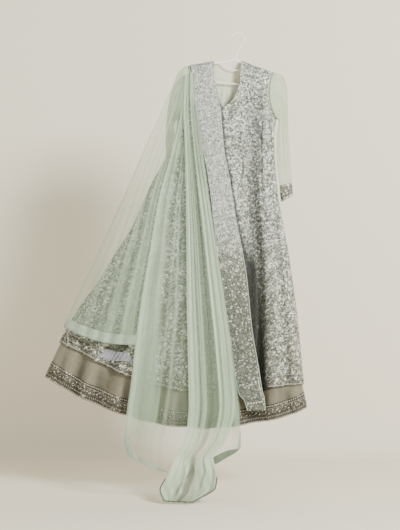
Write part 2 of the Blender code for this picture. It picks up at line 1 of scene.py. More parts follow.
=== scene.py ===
# Maxi dress on a hanger: the looks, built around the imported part.
# Metres, +Z up, the front faces -Y. Tables are in millimetres, and mm turns them to metres.

import json
import math

import bpy
import numpy as np
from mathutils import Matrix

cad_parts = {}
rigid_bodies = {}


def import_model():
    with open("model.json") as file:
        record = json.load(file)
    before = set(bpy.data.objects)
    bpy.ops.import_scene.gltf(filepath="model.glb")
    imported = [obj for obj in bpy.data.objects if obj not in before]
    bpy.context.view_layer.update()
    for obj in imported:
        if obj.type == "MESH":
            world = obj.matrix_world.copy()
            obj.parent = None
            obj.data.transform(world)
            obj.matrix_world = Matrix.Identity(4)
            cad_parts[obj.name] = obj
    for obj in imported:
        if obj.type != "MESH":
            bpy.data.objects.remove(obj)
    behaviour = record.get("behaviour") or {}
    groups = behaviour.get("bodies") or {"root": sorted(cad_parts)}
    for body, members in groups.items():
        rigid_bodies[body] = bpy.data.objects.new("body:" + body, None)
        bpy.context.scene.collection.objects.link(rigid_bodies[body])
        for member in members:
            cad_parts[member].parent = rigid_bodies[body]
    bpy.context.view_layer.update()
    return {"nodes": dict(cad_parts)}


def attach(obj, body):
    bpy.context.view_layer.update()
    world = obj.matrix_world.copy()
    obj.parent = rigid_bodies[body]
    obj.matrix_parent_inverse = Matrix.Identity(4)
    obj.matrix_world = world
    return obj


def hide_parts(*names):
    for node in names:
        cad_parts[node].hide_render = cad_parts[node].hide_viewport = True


for leftover in list(bpy.data.objects):     # Blender's own starting cube, lamp and camera
    bpy.data.objects.remove(leftover)

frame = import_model()
bpy.ops.object.select_all(action="DESELECT")
mm = 0.001
chance = np.random.default_rng(11)      # one seeded source, so each run is the same


def table(columns, *rows):
    return {name: np.array([row[i] for row in rows], float) for i, name in enumerate(columns.split())}


def eachRow(source, names):
    # The rows of a table, with the named columns in that order
    return zip(*(source[name] for name in names.split()))


def through(xs, ys, at):
    # A smooth curve through the points that never swings past them
    order = np.argsort(xs)
    xs, ys = xs[order], ys[order]
    step = np.diff(xs)
    slope = np.diff(ys) / step
    tangent = np.concatenate(([slope[0]], np.zeros(len(slope) - 1), [slope[-1]]))
    for i in range(1, len(slope)):
        if slope[i - 1] * slope[i] > 0:
            tangent[i] = 2.0 * slope[i - 1] * slope[i] / (slope[i - 1] + slope[i])
    at = np.clip(np.asarray(at, float), xs[0], xs[-1])
    i = np.clip(np.searchsorted(xs, at) - 1, 0, len(step) - 1)
    t = (at - xs[i]) / step[i]
    return ((1 + 2 * t) * (1 - t) ** 2 * ys[i] + t * (1 - t) ** 2 * step[i] * tangent[i]
            + t * t * (3 - 2 * t) * ys[i + 1] - t * t * (1 - t) * step[i] * tangent[i + 1])


def readAt(source, column, at, key="height"):
    return through(source[key], source[column], at)


def rowOf(source, column, t):
    # A column read by the share of the way down the table, 0 to 1
    return through(np.linspace(0, 1, len(source[column])), source[column], t)


def blend(a, b, t):
    return a + (b - a) * t


def below(height, start, span):
    # 0 above the start, growing to 1 a span further down
    return np.clip((start - height) / span, 0, 1)


def between(height, start, span, end, fade):
    # 1 between two heights: it grows below the start and fades towards the end
    return below(height, start, span) * np.clip((height - end) / fade, 0, 1)


# Materials

def linearColour(code):
    parts = [int(code[i:i + 2], 16) / 255 for i in (1, 3, 5)]
    return (*[c / 12.92 if c <= 0.04045 else ((c + 0.055) / 1.055) ** 2.4 for c in parts], 1.0)


def addNode(tree, kind, inputs=None, **settings):
    node = tree.nodes.new("ShaderNode" + kind)
    for name, value in settings.items():
        setattr(node, name, value)
    for name, value in (inputs or {}).items():
        if isinstance(value, bpy.types.Node):       # its first output
            value = value.outputs[0]
        if isinstance(value, bpy.types.NodeSocket):
            tree.links.new(value, node.inputs[name])
        elif isinstance(value, str):
            node.inputs[name].default_value = linearColour(value)
        else:
            node.inputs[name].default_value = value
    return node


def newMaterial(name, **sockets):
    material = bpy.data.materials.new(name)
    material.use_nodes = True
    shader = material.node_tree.nodes["Principled BSDF"]
    for socket, value in sockets.items():
        shader.inputs[socket.replace("_", " ")].default_value = (
            linearColour(value) if isinstance(value, str) else value)
    return material, material.node_tree, shader


def paintFoldShade(tree, shader, colour, paintedShadeColour):
    # Painted shade: the mesh's paintedShade attribute darkens the colour towards paintedShadeColour
    paintedShade = addNode(tree, "Attribute", attribute_name="paintedShade").outputs["Fac"]
    shaded = addNode(tree, "Mix", {"Factor": paintedShade, 6: colour.outputs[2], 7: paintedShadeColour}, data_type="RGBA")
    tree.links.new(shaded.outputs[2], shader.inputs["Base Color"])


def embroideredNet(name, look):
    # Net on a backing, worked all over: flowers with six petals, vines between them, leaves, and beads of
    # many tones, in a layout of its own. The beads are drawn at about twice their real size
    material, tree, shader = newMaterial(name, Roughness=look["roughness"])
    uv = addNode(tree, "UVMap", uv_map="cloth")
    sway = addNode(tree, "TexNoise", {"Vector": uv, "Scale": 16.0, "Detail": 1.0}, noise_dimensions="2D")
    bent = addNode(tree, "VectorMath", {0: sway.outputs["Color"], 1: (0.03, 0.03, 0.0)}, operation="MULTIPLY")
    moved = addNode(tree, "VectorMath", {0: uv, 1: bent}, operation="ADD")

    # Flowers: one in each cell, its petals counted round the cell's middle
    cell = addNode(tree, "TexVoronoi", {"Vector": moved, "Scale": 1000 / look["flowerGap"],
                   "Randomness": 0.8}, voronoi_dimensions="2D")
    away = addNode(tree, "VectorMath", {0: moved, 1: cell.outputs["Position"]}, operation="SUBTRACT")
    axes = addNode(tree, "SeparateXYZ", {0: away})
    angle = addNode(tree, "Math", {0: axes.outputs[1], 1: axes}, operation="ARCTAN2")
    turned = addNode(tree, "Math", {0: angle, 1: 6.0}, operation="MULTIPLY")
    wave = addNode(tree, "Math", {0: turned}, operation="COSINE")
    petal = addNode(tree, "Math", {0: wave, 1: 0.07, 2: 0.26}, operation="MULTIPLY_ADD")
    inside = addNode(tree, "Math", {0: petal, 1: cell.outputs["Distance"]}, operation="SUBTRACT")
    flower = addNode(tree, "MapRange", {0: inside, 1: 0.0, 2: 0.05})
    heart = addNode(tree, "MapRange", {0: cell.outputs["Distance"], 1: 0.05, 2: 0.10, 3: 1.0, 4: 0.0})

    # Vines: curved lines along the edges between the flowers' cells
    border = addNode(tree, "TexVoronoi", {"Vector": moved, "Scale": 1000 / look["flowerGap"],
                     "Randomness": 0.8}, voronoi_dimensions="2D", feature="DISTANCE_TO_EDGE")
    vine = addNode(tree, "MapRange", {0: border.outputs["Distance"], 1: 0.03, 2: 0.08, 3: 0.9, 4: 0.0})

    # Leaves: small stretched cells that the slow sway turns this way and that
    longWay = addNode(tree, "Mapping", {"Vector": moved, "Scale": (2.0, 1.0, 1.0), "Rotation": (0.0, 0.0,
                      0.6)})
    leafCell = addNode(tree, "TexVoronoi", {"Vector": longWay, "Scale": 1000 / look["leafGap"],
                       "Randomness": 0.9}, voronoi_dimensions="2D")
    leaf = addNode(tree, "MapRange", {0: leafCell.outputs["Distance"], 1: 0.26, 2: 0.38, 3: look["leaf"],
                   4: 0.0})
    first = addNode(tree, "Math", {0: flower, 1: vine}, operation="MAXIMUM")
    second = addNode(tree, "Math", {0: first, 1: leaf}, operation="MAXIMUM")
    work = addNode(tree, "Math", {0: second, 1: heart}, operation="SUBTRACT", use_clamp=True)

    # From the top to the hem the ground turns from silver to sage
    height = addNode(tree, "SeparateXYZ", {0: uv}).outputs[1]
    low = addNode(tree, "MapRange", {0: height, 1: look["turnsFrom"], 2: look["turnsTo"]},
                  interpolation_type="SMOOTHSTEP")
    ground = addNode(tree, "Mix", {"Factor": low, 6: look["ground"], 7: look["groundLow"]}, data_type="RGBA")
    thread = addNode(tree, "Mix", {"Factor": low, 6: look["thread"], 7: look["threadLow"]}, data_type="RGBA")
    colour = addNode(tree, "Mix", {"Factor": work, 6: ground.outputs[2], 7: thread.outputs[2]},
                     data_type="RGBA")

    # Beads and sequins: tiny cells, each with its own tone from dark glass to bright silver. The near-white
    # cells are partly the sequins' own silver and partly a painted glint
    bead = addNode(tree, "TexVoronoi", {"Vector": uv, "Scale": 1000 / look["beadGap"], "Randomness": 1.0},
                   voronoi_dimensions="2D")
    luck = addNode(tree, "SeparateColor", {0: bead.outputs["Color"]})
    dark = addNode(tree, "MapRange", {0: luck.outputs[1], 1: look["hollow"], 2: look["hollow"] - 0.08,
                   3: 0.0, 4: look["darkness"]})
    dulled = addNode(tree, "Mix", {"Factor": dark, 6: colour.outputs[2], 7: look["dark"]}, data_type="RGBA")
    glint = addNode(tree, "MapRange", {0: luck, 1: look["glint"], 2: look["glint"] + 0.04})
    bright = addNode(tree, "Mix", {"Factor": glint, 6: dulled.outputs[2], 7: look["shine"]}, data_type="RGBA")

    paintFoldShade(tree, shader, bright, look["paintedShadeColour"])
    gloss = addNode(tree, "MapRange", {0: glint, 3: look["roughness"], 4: 0.3})
    tree.links.new(gloss.outputs[0], shader.inputs["Roughness"])
    grain = addNode(tree, "Math", {0: bead.outputs["Distance"], 1: -0.6, 2: work}, operation="MULTIPLY_ADD")
    bump = addNode(tree, "Bump", {"Strength": 0.8, "Distance": 0.002, "Height": grain})
    tree.links.new(bump.outputs[0], shader.inputs["Normal"])
    return material


def sheerNet(name, look):
    # Soft nylon net: see-through where it is one layer, denser where it is gathered
    material, tree, shader = newMaterial(name, Base_Color=look["colour"], Roughness=look["roughness"],
                                         Sheen_Weight=0.25, Sheen_Roughness=0.4)
    uv = addNode(tree, "UVMap", uv_map="cloth")
    layers = addNode(tree, "Attribute", attribute_name="layers").outputs["Fac"]
    # The real threads are under 1 mm apart, so they are drawn about three times as coarse
    streaks = addNode(tree, "Mapping", {"Vector": uv, "Scale": (260.0, 9.0, 1.0)})
    thread = addNode(tree, "TexNoise", {"Vector": streaks, "Scale": 1.0, "Detail": 3.0},
                     noise_dimensions="2D")
    uneven = addNode(tree, "MapRange", {0: thread, 1: 0.3, 2: 0.7, 3: 0.82, 4: 1.2})
    count = addNode(tree, "Math", {0: layers, 1: uneven}, operation="MULTIPLY")
    gone = addNode(tree, "Math", {0: 1 - look["cover"], 1: count}, operation="POWER")
    alpha = addNode(tree, "Math", {0: 1.0, 1: gone}, operation="SUBTRACT", use_clamp=True)
    tree.links.new(alpha.outputs[0], shader.inputs["Alpha"])
    tone = addNode(tree, "MapRange", {0: layers, 1: 0.6, 2: 4.5})
    colour = addNode(tree, "Mix", {"Factor": tone, 6: look["colour"], 7: look["bright"]}, data_type="RGBA")
    paintFoldShade(tree, shader, colour, look["paintedShadeColour"])
    bump = addNode(tree, "Bump", {"Strength": 0.35, "Distance": 0.002, "Height": thread})
    tree.links.new(bump.outputs[0], shader.inputs["Normal"])
    return material


def satin(name, look):
    # Satin or a satin ribbon: smooth, with a soft sheen, faint slubs and small crinkles
    material, tree, shader = newMaterial(name, Base_Color=look["colour"], Roughness=look["roughness"],
                                         Sheen_Weight=0.3, Sheen_Roughness=0.35, Alpha=look.get("alpha", 1.0))
    uv = addNode(tree, "UVMap", uv_map="cloth")
    slub = addNode(tree, "Mapping", {"Vector": uv, "Scale": (70.0, 900.0, 1.0)})
    weave = addNode(tree, "TexNoise", {"Vector": slub, "Scale": 1.0, "Detail": 2.0}, noise_dimensions="2D")
    soft = addNode(tree, "TexNoise", {"Vector": uv, "Scale": look.get("crinkle", 60.0), "Detail": 3.0},
                   noise_dimensions="2D")
    # Painted shade in the crinkles: darker where the crinkle noise, which also raises the bump, is low
    colour = addNode(tree, "Mix", {"Factor": soft, 6: look["shade"], 7: look["colour"]}, data_type="RGBA")
    paintFoldShade(tree, shader, colour, "#2c2a20")
    relief = addNode(tree, "Math", {0: weave, 1: 0.25, 2: soft}, operation="MULTIPLY_ADD")
    bump = addNode(tree, "Bump", {"Strength": 0.5, "Distance": 0.004, "Height": relief})
    tree.links.new(bump.outputs[0], shader.inputs["Normal"])
    return material


# Looks of the embroidery. Gaps are in mm: from flower to flower, leaf to leaf and bead to bead
silverLook = {
    "ground": "#666b5f", "groundLow": "#646955", "thread": "#b9bdb5", "threadLow": "#a9ad9b",
    "shine": "#e9ebe4", "dark": "#33372c", "paintedShadeColour": "#14160f", "roughness": 0.55, "flowerGap": 38,
    "leafGap": 13, "leaf": 0.7, "beadGap": 6.0, "glint": 0.84, "hollow": 0.30, "darkness": 0.75,
    "turnsFrom": -0.75, "turnsTo": -1.25}
bandLook = dict(silverLook, flowerGap=24, leafGap=11, leaf=0.95, beadGap=5.5, ground="#7d8179",
                thread="#bbbebb", groundLow="#42463a", threadLow="#8b907c", shine="#dcdfd6", glint=0.9,
                hollow=0.2, darkness=0.55, turnsFrom=-0.80, turnsTo=-1.15)
trimLook = dict(silverLook, flowerGap=30, leafGap=12, ground="#57584a", groundLow="#57584a",
                thread="#87877a", threadLow="#87877a", shine="#c9c9bd", glint=0.84, hollow=0.38)
taupeLook = dict(silverLook, flowerGap=34, leafGap=11, ground="#403c2f", groundLow="#403c2f",
                 thread="#5f5b4a", threadLow="#5f5b4a", dark="#26241b", shine="#b3ad99", glint=0.90,
                 hollow=0.36, paintedShadeColour="#24211a")

materials = {
    # Silver thread, sequins and beads on net: a broken, glinting grey that turns to sage towards the hem
    "gown": embroideredNet("silver embroidery on net", silverLook),
    "band": embroideredNet("dense silver embroidery", bandLook),
    "trim": embroideredNet("beaded hem trim", trimLook),
    "taupeTrim": embroideredNet("pearl beads on taupe satin", taupeLook),
    # Backing net: pale and matt, seen in the openings
    "lining": satin("cream backing net", {"colour": "#dfe2cc", "shade": "#c9ccb0", "roughness": 0.75}),
    # Satin and satin ribbon: broad soft highlights along the folds, sharper on the crinkled silver cloth
    "taupe": satin("taupe satin", {"colour": "#85806a", "shade": "#6f6a55", "roughness": 0.5}),
    "ribbon": satin("mint satin ribbon", {"colour": "#a7bca4", "shade": "#8fa48c", "roughness": 0.35,
                                          "alpha": 0.75}),
    "darkRibbon": satin("sage ribbon edge", {"colour": "#6f8068", "shade": "#566650", "roughness": 0.5}),
    "silver": satin("crinkled silver cloth", {"colour": "#bcbfc4", "shade": "#7d8086", "roughness": 0.2,
                                              "crinkle": 160.0}),
    # Woven nylon net: the more layers, the denser and brighter, with fine streaks of thread
    "drape": sheerNet("mint nylon net", {"colour": "#82977a", "bright": "#bad1b2", "roughness": 0.6,
                                         "paintedShadeColour": "#48573f", "cover": 0.36}),
    "sleeve": sheerNet("pale sleeve net", {"colour": "#a4b793", "bright": "#c0cfb2", "roughness": 0.65,
                                           "paintedShadeColour": "#48573f", "cover": 0.37}),
    # Cotton cords and a rolled hem: plain, soft lines
    "piping": newMaterial("mint cord piping", Base_Color="#93a393", Roughness=0.5)[0],
    "seam": newMaterial("sage seam cord", Base_Color="#5d6950", Roughness=0.7)[0],
    "rolled": newMaterial("rolled dark edge", Base_Color="#4c5844", Roughness=0.6)[0],
    # Plastic sequins with a metal film, and glass beads: small points of light, and dark points between them
    "sequin": newMaterial("silvered sequins", Base_Color="#cdd0c8", Roughness=0.35, Metallic=0.4)[0],
    "pearl": newMaterial("cream pearl beads", Base_Color="#c9c4b0", Roughness=0.3)[0],
    "taupePearl": newMaterial("taupe pearl beads", Base_Color="#a29c86", Roughness=0.35)[0],
    "jet": newMaterial("dark glass beads", Base_Color="#3a3a2c", Roughness=0.4)[0],
    "smoke": newMaterial("smoked glass beads", Base_Color="#565a4c", Roughness=0.4)[0],
}
print("materials made")


# Cloth made from grids of points

def gridNormals(grid, closed=False):
    if closed:
        across = np.roll(grid, -1, axis=1) - np.roll(grid, 1, axis=1)
    else:
        across = np.gradient(grid, axis=1)
    n = np.cross(np.gradient(grid, axis=0), across)
    return n / np.maximum(np.linalg.norm(n, axis=2, keepdims=True), 1e-9)


def clothCoordinates(grid, origin=0):
    # Metres along the cloth: across from one column, and down that column
    steps = np.linalg.norm(np.diff(grid, axis=1), axis=2)
    u = np.concatenate([np.zeros((len(grid), 1)), np.cumsum(steps, axis=1)], axis=1)
    u = u - u[:, origin:origin + 1]
    drop = np.linalg.norm(np.diff(grid[:, origin], axis=0), axis=1)
    v = grid[0, origin, 2] - np.concatenate([[0], np.cumsum(drop)])
    return np.stack([u, np.repeat(v[:, None], grid.shape[1], axis=1)], axis=2) * mm


def newPiece(name, points, faces, cloths):
    mesh = bpy.data.meshes.new(name)
    mesh.from_pydata((points * mm).reshape(-1, 3).tolist(), [], faces)
    for cloth in cloths:
        mesh.materials.append(materials[cloth])
    piece = bpy.data.objects.new(name, mesh)
    bpy.context.collection.objects.link(piece)
    return piece


def makeCloth(name, grid, cloths, thickness=0.0, uv=None, closed=False, layers=None, paintedShade=None):
    # A sheet from a grid of points, given a wall inwards where it is opaque. cloths: outside and lining
    rows, columns = grid.shape[:2]
    if uv is None:
        uv = clothCoordinates(grid)
    r, c = np.meshgrid(np.arange(rows - 1), np.arange(columns if closed else columns - 1), indexing="ij")
    after = (c + 1) % columns
    faces = np.stack([r * columns + c, (r + 1) * columns + c, (r + 1) * columns + after, r * columns + after],
                     axis=-1).reshape(-1, 4)
    piece = newPiece(name, grid, faces.tolist(), cloths)
    mesh = piece.data
    corners = uv.reshape(-1, 2)[faces]
    if closed:      # the last column's faces close on the first one, a whole turn further on
        wrap = (after == 0).reshape(-1)
        width = uv[:, -1, 0] + np.linalg.norm(grid[:, 0] - grid[:, -1], axis=1) * mm
        row = r.reshape(-1)[wrap]
        corners[wrap, 2, 0] = width[row + 1]
        corners[wrap, 3, 0] = width[row]
    mesh.uv_layers.new(name="cloth").data.foreach_set("uv", corners.reshape(-1).astype(np.float32))
    for label, values in (("layers", layers), ("paintedShade", paintedShade)):
        if values is not None:
            mesh.attributes.new(label, "FLOAT", "POINT").data.foreach_set(
                "value", values.reshape(-1).astype(np.float32))
    mesh.shade_smooth()
    if thickness:
        bpy.ops.object.select_all(action="DESELECT")
        bpy.context.view_layer.objects.active = piece
        piece.select_set(True)
        shell = piece.modifiers.new("wall", "SOLIDIFY")
        shell.thickness = thickness * mm
        shell.offset = -1.0
        shell.material_offset = len(cloths) - 1
        bpy.ops.object.modifier_apply(modifier=shell.name)
        piece.select_set(False)
    return piece


def onGrid(values, r, c):
    # Values of a grid at places between its points
    r = np.clip(r, 0, values.shape[0] - 1.001)
    c = np.clip(c, 0, values.shape[1] - 1.001)
    i, j = r.astype(int), c.astype(int)
    s, t = (r - i)[:, None], (c - j)[:, None]
    return ((values[i, j] * (1 - s) + values[i + 1, j] * s) * (1 - t)
            + (values[i, j + 1] * (1 - s) + values[i + 1, j + 1] * s) * t)


def beadShape(sides, height):
    # A small faceted bead: a ring of points with one above and one below
    turn = np.arange(sides) * 2 * math.pi / sides
    ringPoints = np.stack([np.cos(turn), np.sin(turn), np.zeros(sides)], axis=1)
    points = np.concatenate([ringPoints, [[0, 0, height], [0, 0, -height]]])
    faces = []
    for i in range(sides):
        j = (i + 1) % sides
        faces.append((i, j, sides))
        faces.append((j, i, sides + 1))
    return points, np.array(faces)


def sewBeads(name, places, normals, sizes, material, sides=4, height=0.5, lift=0.6, angles=None, tilt=0.25):
    # All the beads of one kind as one mesh. sizes has each one's half-length and half-width in mm
    points, faces = beadShape(sides, height)
    count = len(places)
    sizes = np.broadcast_to(np.asarray(sizes, float), (count, 2))
    normals = normals + chance.normal(0, tilt, (count, 3))
    normals = normals / np.linalg.norm(normals, axis=1, keepdims=True)
    down = np.array([0.0, 0.0, -1.0])
    side = np.cross(normals, down)
    side = side / np.maximum(np.linalg.norm(side, axis=1, keepdims=True), 1e-6)
    along = np.cross(side, normals)
    if angles is None:
        angles = chance.uniform(0, 2 * math.pi, count)
    cos, sin = np.cos(angles)[:, None], np.sin(angles)[:, None]
    first = side * cos + along * sin
    second = along * cos - side * sin
    thickness = sizes.min(axis=1)
    beads = ((places + normals * lift)[:, None]
             + first[:, None] * (points[None, :, 0:1] * sizes[:, None, 0:1])
             + second[:, None] * (points[None, :, 1:2] * sizes[:, None, 1:2])
             + normals[:, None] * (points[None, :, 2:3] * thickness[:, None, None]))
    beadFaces = (faces[None] + (np.arange(count) * len(points))[:, None, None]).reshape(-1, 3)
    piece = newPiece(name, beads, beadFaces.tolist(), [material])
    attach(piece, "root")
    return piece


def makeTube(name, points, radius, material, sides=8):
    # A cord along a line of points, closed at both ends
    way = np.gradient(points, axis=0)
    way = way / np.linalg.norm(way, axis=1, keepdims=True)
    side = np.cross(way, [0.0, 1.0, 0.0])
    side = side / np.maximum(np.linalg.norm(side, axis=1, keepdims=True), 1e-6)
    other = np.cross(side, way)
    turn = np.arange(sides) * 2 * math.pi / sides
    rings = (points[:, None] + radius * (side[:, None] * np.cos(turn)[None, :, None]
             + other[:, None] * np.sin(turn)[None, :, None]))
    count = len(points)
    faces = []
    for i in range(count - 1):
        for k in range(sides):
            n = (k + 1) % sides
            faces.append((i * sides + k, (i + 1) * sides + k, (i + 1) * sides + n, i * sides + n))
    faces.append(tuple(range(sides)))
    faces.append(tuple((count - 1) * sides + k for k in reversed(range(sides))))
    piece = newPiece(name, rings, faces, [material])
    piece.data.shade_smooth()
    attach(piece, "root")
    return piece


def creases(source, share, height):
    # Small folds, given one by one: outward where depth is positive, inward where it is negative
    total = np.zeros(np.broadcast(share, height).shape)
    for top, foot, width, depth, start, end in eachRow(source, "top foot width depth start end"):
        t = below(height, start, start - end)
        grown = np.sin(math.pi * t * 0.96 + 0.02) ** 0.7
        grown = np.where((height < start) & (height > end), grown, 0)
        total = total + depth * grown * np.exp(-((share - blend(top, foot, t)) / width) ** 2)
    return total


# Studio: a camera level with the middle of the dress, a seamless sweep and soft light from the right

studio = {
    "eye": (-0.152, -5.5, -0.928), "lens": 93.4,
    "aim": (-0.15, 0.0, -0.95), "floor": -1.852, "floorFrom": -20.0, "wall": 1.22, "wallTop": 3.2,
    "sweep": 0.22, "reach": 24.0, "paper": "#f2ebd8",
    "key": {"place": (2.3, -3.9, 0.9), "size": 1.1, "power": 400},
    "fill": {"place": (-2.6, -3.6, 0.0), "size": 2.6, "power": 40},
    "sky": {"colour": "#f2eee2", "strength": 0.70},
}


def buildStudio():
    bpy.ops.object.camera_add(location=studio["eye"], rotation=(math.pi / 2, 0, 0))
    camera = bpy.context.object
    camera.data.lens = studio["lens"]
    bpy.context.scene.camera = camera
    for name in ("key", "fill"):
        light = studio[name]
        bpy.ops.object.light_add(type="AREA", location=light["place"])
        lamp = bpy.context.object
        lamp.data.energy = light["power"]
        lamp.data.size = light["size"]
        aim = np.array(studio["aim"]) - np.array(light["place"])
        lamp.rotation_euler = (math.acos(-aim[2] / np.linalg.norm(aim)), 0,
                               math.atan2(aim[1], aim[0]) - math.pi / 2)
    world = bpy.data.worlds.new("studio")
    world.use_nodes = True
    background = world.node_tree.nodes["Background"]
    background.inputs["Color"].default_value = linearColour(studio["sky"]["colour"])
    background.inputs["Strength"].default_value = studio["sky"]["strength"]
    bpy.context.scene.world = world

    # The paper sweep: floor, a quarter turn and the wall
    turn = np.linspace(0, math.pi / 2, 25)
    bend = np.stack([studio["wall"] - studio["sweep"] + studio["sweep"] * np.sin(turn),
                     studio["floor"] + studio["sweep"] * (1 - np.cos(turn))], axis=1)
    profile = np.concatenate([[[studio["floorFrom"], studio["floor"]]], bend,
                              [[studio["wall"], studio["wallTop"]]]])
    across = np.linspace(studio["reach"], -studio["reach"], 3)
    grid = np.stack([np.broadcast_to(across[None], (len(profile), 3)),
                     np.broadcast_to(profile[:, :1], (len(profile), 3)),
                     np.broadcast_to(profile[:, 1:], (len(profile), 3))], axis=2) / mm
    # Matt paper without a highlight. It is clear from behind, so that the back of the dress can be seen too
    material, tree, shader = newMaterial("matt paper sweep", Base_Color=studio["paper"], Roughness=0.9)
    facing = addNode(tree, "NewGeometry").outputs["Backfacing"]
    clear = addNode(tree, "BsdfTransparent")
    oneSided = addNode(tree, "MixShader", {0: facing, 1: shader, 2: clear})
    tree.links.new(oneSided.outputs[0], tree.nodes["Material Output"].inputs["Surface"])
    materials["paper"] = material
    paper = makeCloth("paperSweep", grid, ["paper"])


buildStudio()
print("studio made")


# Hanger: white moulded plastic, with a soft highlight and a faint grain

def finishHanger():
    plastic, tree, shader = newMaterial("white moulded plastic", Base_Color="#f4f3ef", Roughness=0.32)
    place = addNode(tree, "TexCoord").outputs["Object"]
    grain = addNode(tree, "TexNoise", {"Vector": place, "Scale": 700.0, "Detail": 2.0})
    bump = addNode(tree, "Bump", {"Strength": 0.15, "Distance": 0.0004, "Height": grain})
    tree.links.new(bump.outputs[0], shader.inputs["Normal"])
    for name in ("hanger_body", "hanger_hook", "hanger_brace"):
        node = frame["nodes"][name]
        node.data.materials.clear()
        node.data.materials.append(plastic)


finishHanger()
print("hanger finished")


# Gown: the tables of the part, in millimetres

hanger = {"tilt": math.radians(5.5), "apex": (-12.0, -108.0), "armReach": 180.0, "armDrop": 48.2,
          "railRadius": 4.2}
cut = {
    "wall": 1.5, "seam": 0.4, "ridgeSpace": 0.9, "ridge": 50.0,
    "leftTip": -196.0, "rightTip": 138.0, "leftArmpit": (-240.0, -344.0), "rightArmpit": (152.0, -344.0),
    "scoop": 28.0, "fullness": 0.85, "leftNeck": -96.0, "rightNeck": 16.0, "backDip": 30.0,
    "neckPoint": -298.0, "centre": 0.47, "border": 48.0, "underBorder": 62.0, "lowerRows": 7.0,
    "underStart": 2.0, "underEase": 1.35, "underSeat": 3.2, "underInset": 3.6, "underTuck": 1.2,
    "bandMargin": 5.0, "bandRidgeLift": 0.8, "bandLift": 3.2, "bandWall": 2.0, "foldFoot": -1440.0,
    "trimLift": 1.3, "trimWall": 1.0, "trimSeam": 0.8}
sides = table(
    "height left right",
    (-344, -240, 152), (-436, -256, 145), (-540, -312, 150), (-648, -368, 161), (-768, -420, 181),
    (-892, -498, 204), (-1008, -569, 221), (-1104, -640, 234), (-1236, -714, 248), (-1404, -790, 264),
    (-1500, -830, 282))
depths = table(
    "height front back",
    (-100, 24, 23), (-160, 26, 24), (-240, 30, 26), (-344, 36, 28), (-436, 38, 30), (-560, 40, 32),
    (-768, 54, 44), (-1008, 78, 64), (-1236, 102, 84), (-1440, 118, 98), (-1600, 128, 106))
neck = table(
    "height left right",
    (-110, -96, 16), (-146, -96, 9), (-203, -91, 6), (-240, -82, -6), (-270, -75, -22), (-290, -66, -38),
    (-298, -52, -52))
gownHem = table(
    "place height",
    (0.0, -1236), (0.106, -1284), (0.247, -1352), (0.436, -1410), (0.60, -1432), (0.738, -1436),
    (0.863, -1412), (1.0, -1404))
underHem = table(
    "place height",
    (0.0, -1374), (0.155, -1460), (0.32, -1524), (0.49, -1562), (0.62, -1570), (0.77, -1558),
    (0.94, -1522), (1.0, -1496))
# Big folds: place, half-width, share of the depth, start height, and dark: strength of their painted shade
frontFolds = table(
    "place width share start dark",
    (0.09, 0.024, 0.30, -800, 0.42), (0.20, 0.030, 0.36, -640, 0.50), (0.32, 0.026, 0.28, -760, 0.40),
    (0.42, 0.024, 0.24, -860, 0.40), (0.55, 0.030, 0.30, -640, 0.36), (0.66, 0.024, 0.26, -900, 0.34),
    (0.80, 0.038, 0.55, -210, 0.97), (0.93, 0.022, 0.30, -620, 0.40))
backFolds = table(
    "place width share start dark",
    (0.10, 0.030, 0.32, -740, 0.45), (0.24, 0.034, 0.38, -600, 0.55), (0.38, 0.030, 0.30, -580, 0.40),
    (0.50, 0.030, 0.28, -640, 0.35), (0.62, 0.030, 0.34, -580, 0.50), (0.76, 0.034, 0.38, -600, 0.55),
    (0.90, 0.028, 0.30, -740, 0.40))

# The shoulder band's edges
band = table(
    "height left right",
    (-112, -189, -100), (-204, -182, -93), (-296, -164, -74), (-476, -140, -58), (-588, -120, -36),
    (-748, -100, -10), (-948, -76, 28), (-1188, -52, 53), (-1346, -18, 78), (-1440, 4, 92), (-1500, 34, 104))

# Small creases: place at the top and at the foot, half-width, depth in mm, heights where it starts and ends
frontCreases = table(
    "top foot width depth start end",
    (0.86, 0.885, 0.010, -3.0, -215, -780),
    (0.90, 0.90, 0.008, 2.4, -300, -1120),
    (0.745, 0.735, 0.011, 2.8, -240, -980),
    (0.70, 0.70, 0.009, -2.2, -330, -720),
    (0.845, 0.84, 0.012, 3.2, -560, -1440),
    (0.965, 0.95, 0.009, -2.6, -420, -1000),
    (0.62, 0.60, 0.010, -2.0, -520, -900),
    (0.27, 0.265, 0.010, 2.8, -620, -1250),
    (0.14, 0.15, 0.012, 3.4, -760, -1340),
    (0.37, 0.37, 0.009, 2.4, -700, -1200),
    (0.48, 0.49, 0.010, -2.4, -720, -1440),
    (0.05, 0.04, 0.010, -2.6, -880, -1300),
    (0.24, 0.23, 0.008, -2.2, -900, -1400),
    (0.87, 0.90, 0.007, -1.8, -1000, -1440),
    (0.78, 0.96, 0.014, -2.2, -330, -520),
    (0.06, 0.20, 0.018, -2.2, -350, -560))
backCreases = table(
    "top foot width depth start end",
    (0.34, 0.33, 0.012, 2.6, -150, -620),
    (0.42, 0.43, 0.011, -2.6, -160, -700),
    (0.47, 0.46, 0.010, 2.4, -170, -560),
    (0.54, 0.56, 0.012, -2.4, -165, -640),
    (0.17, 0.17, 0.012, 3.0, -520, -1240),
    (0.31, 0.30, 0.010, -2.6, -700, -1380),
    (0.45, 0.44, 0.012, 3.0, -760, -1420),
    (0.56, 0.57, 0.010, -2.2, -820, -1420),
    (0.69, 0.70, 0.012, 3.2, -640, -1400),
    (0.83, 0.84, 0.010, -2.6, -700, -1330),
    (0.94, 0.95, 0.010, 2.4, -860, -1280))


def hangerPoint(x, z):
    cos, sin = math.cos(hanger["tilt"]), math.sin(hanger["tilt"])
    return hanger["apex"][0] + x * cos + z * sin, hanger["apex"][1] - x * sin + z * cos


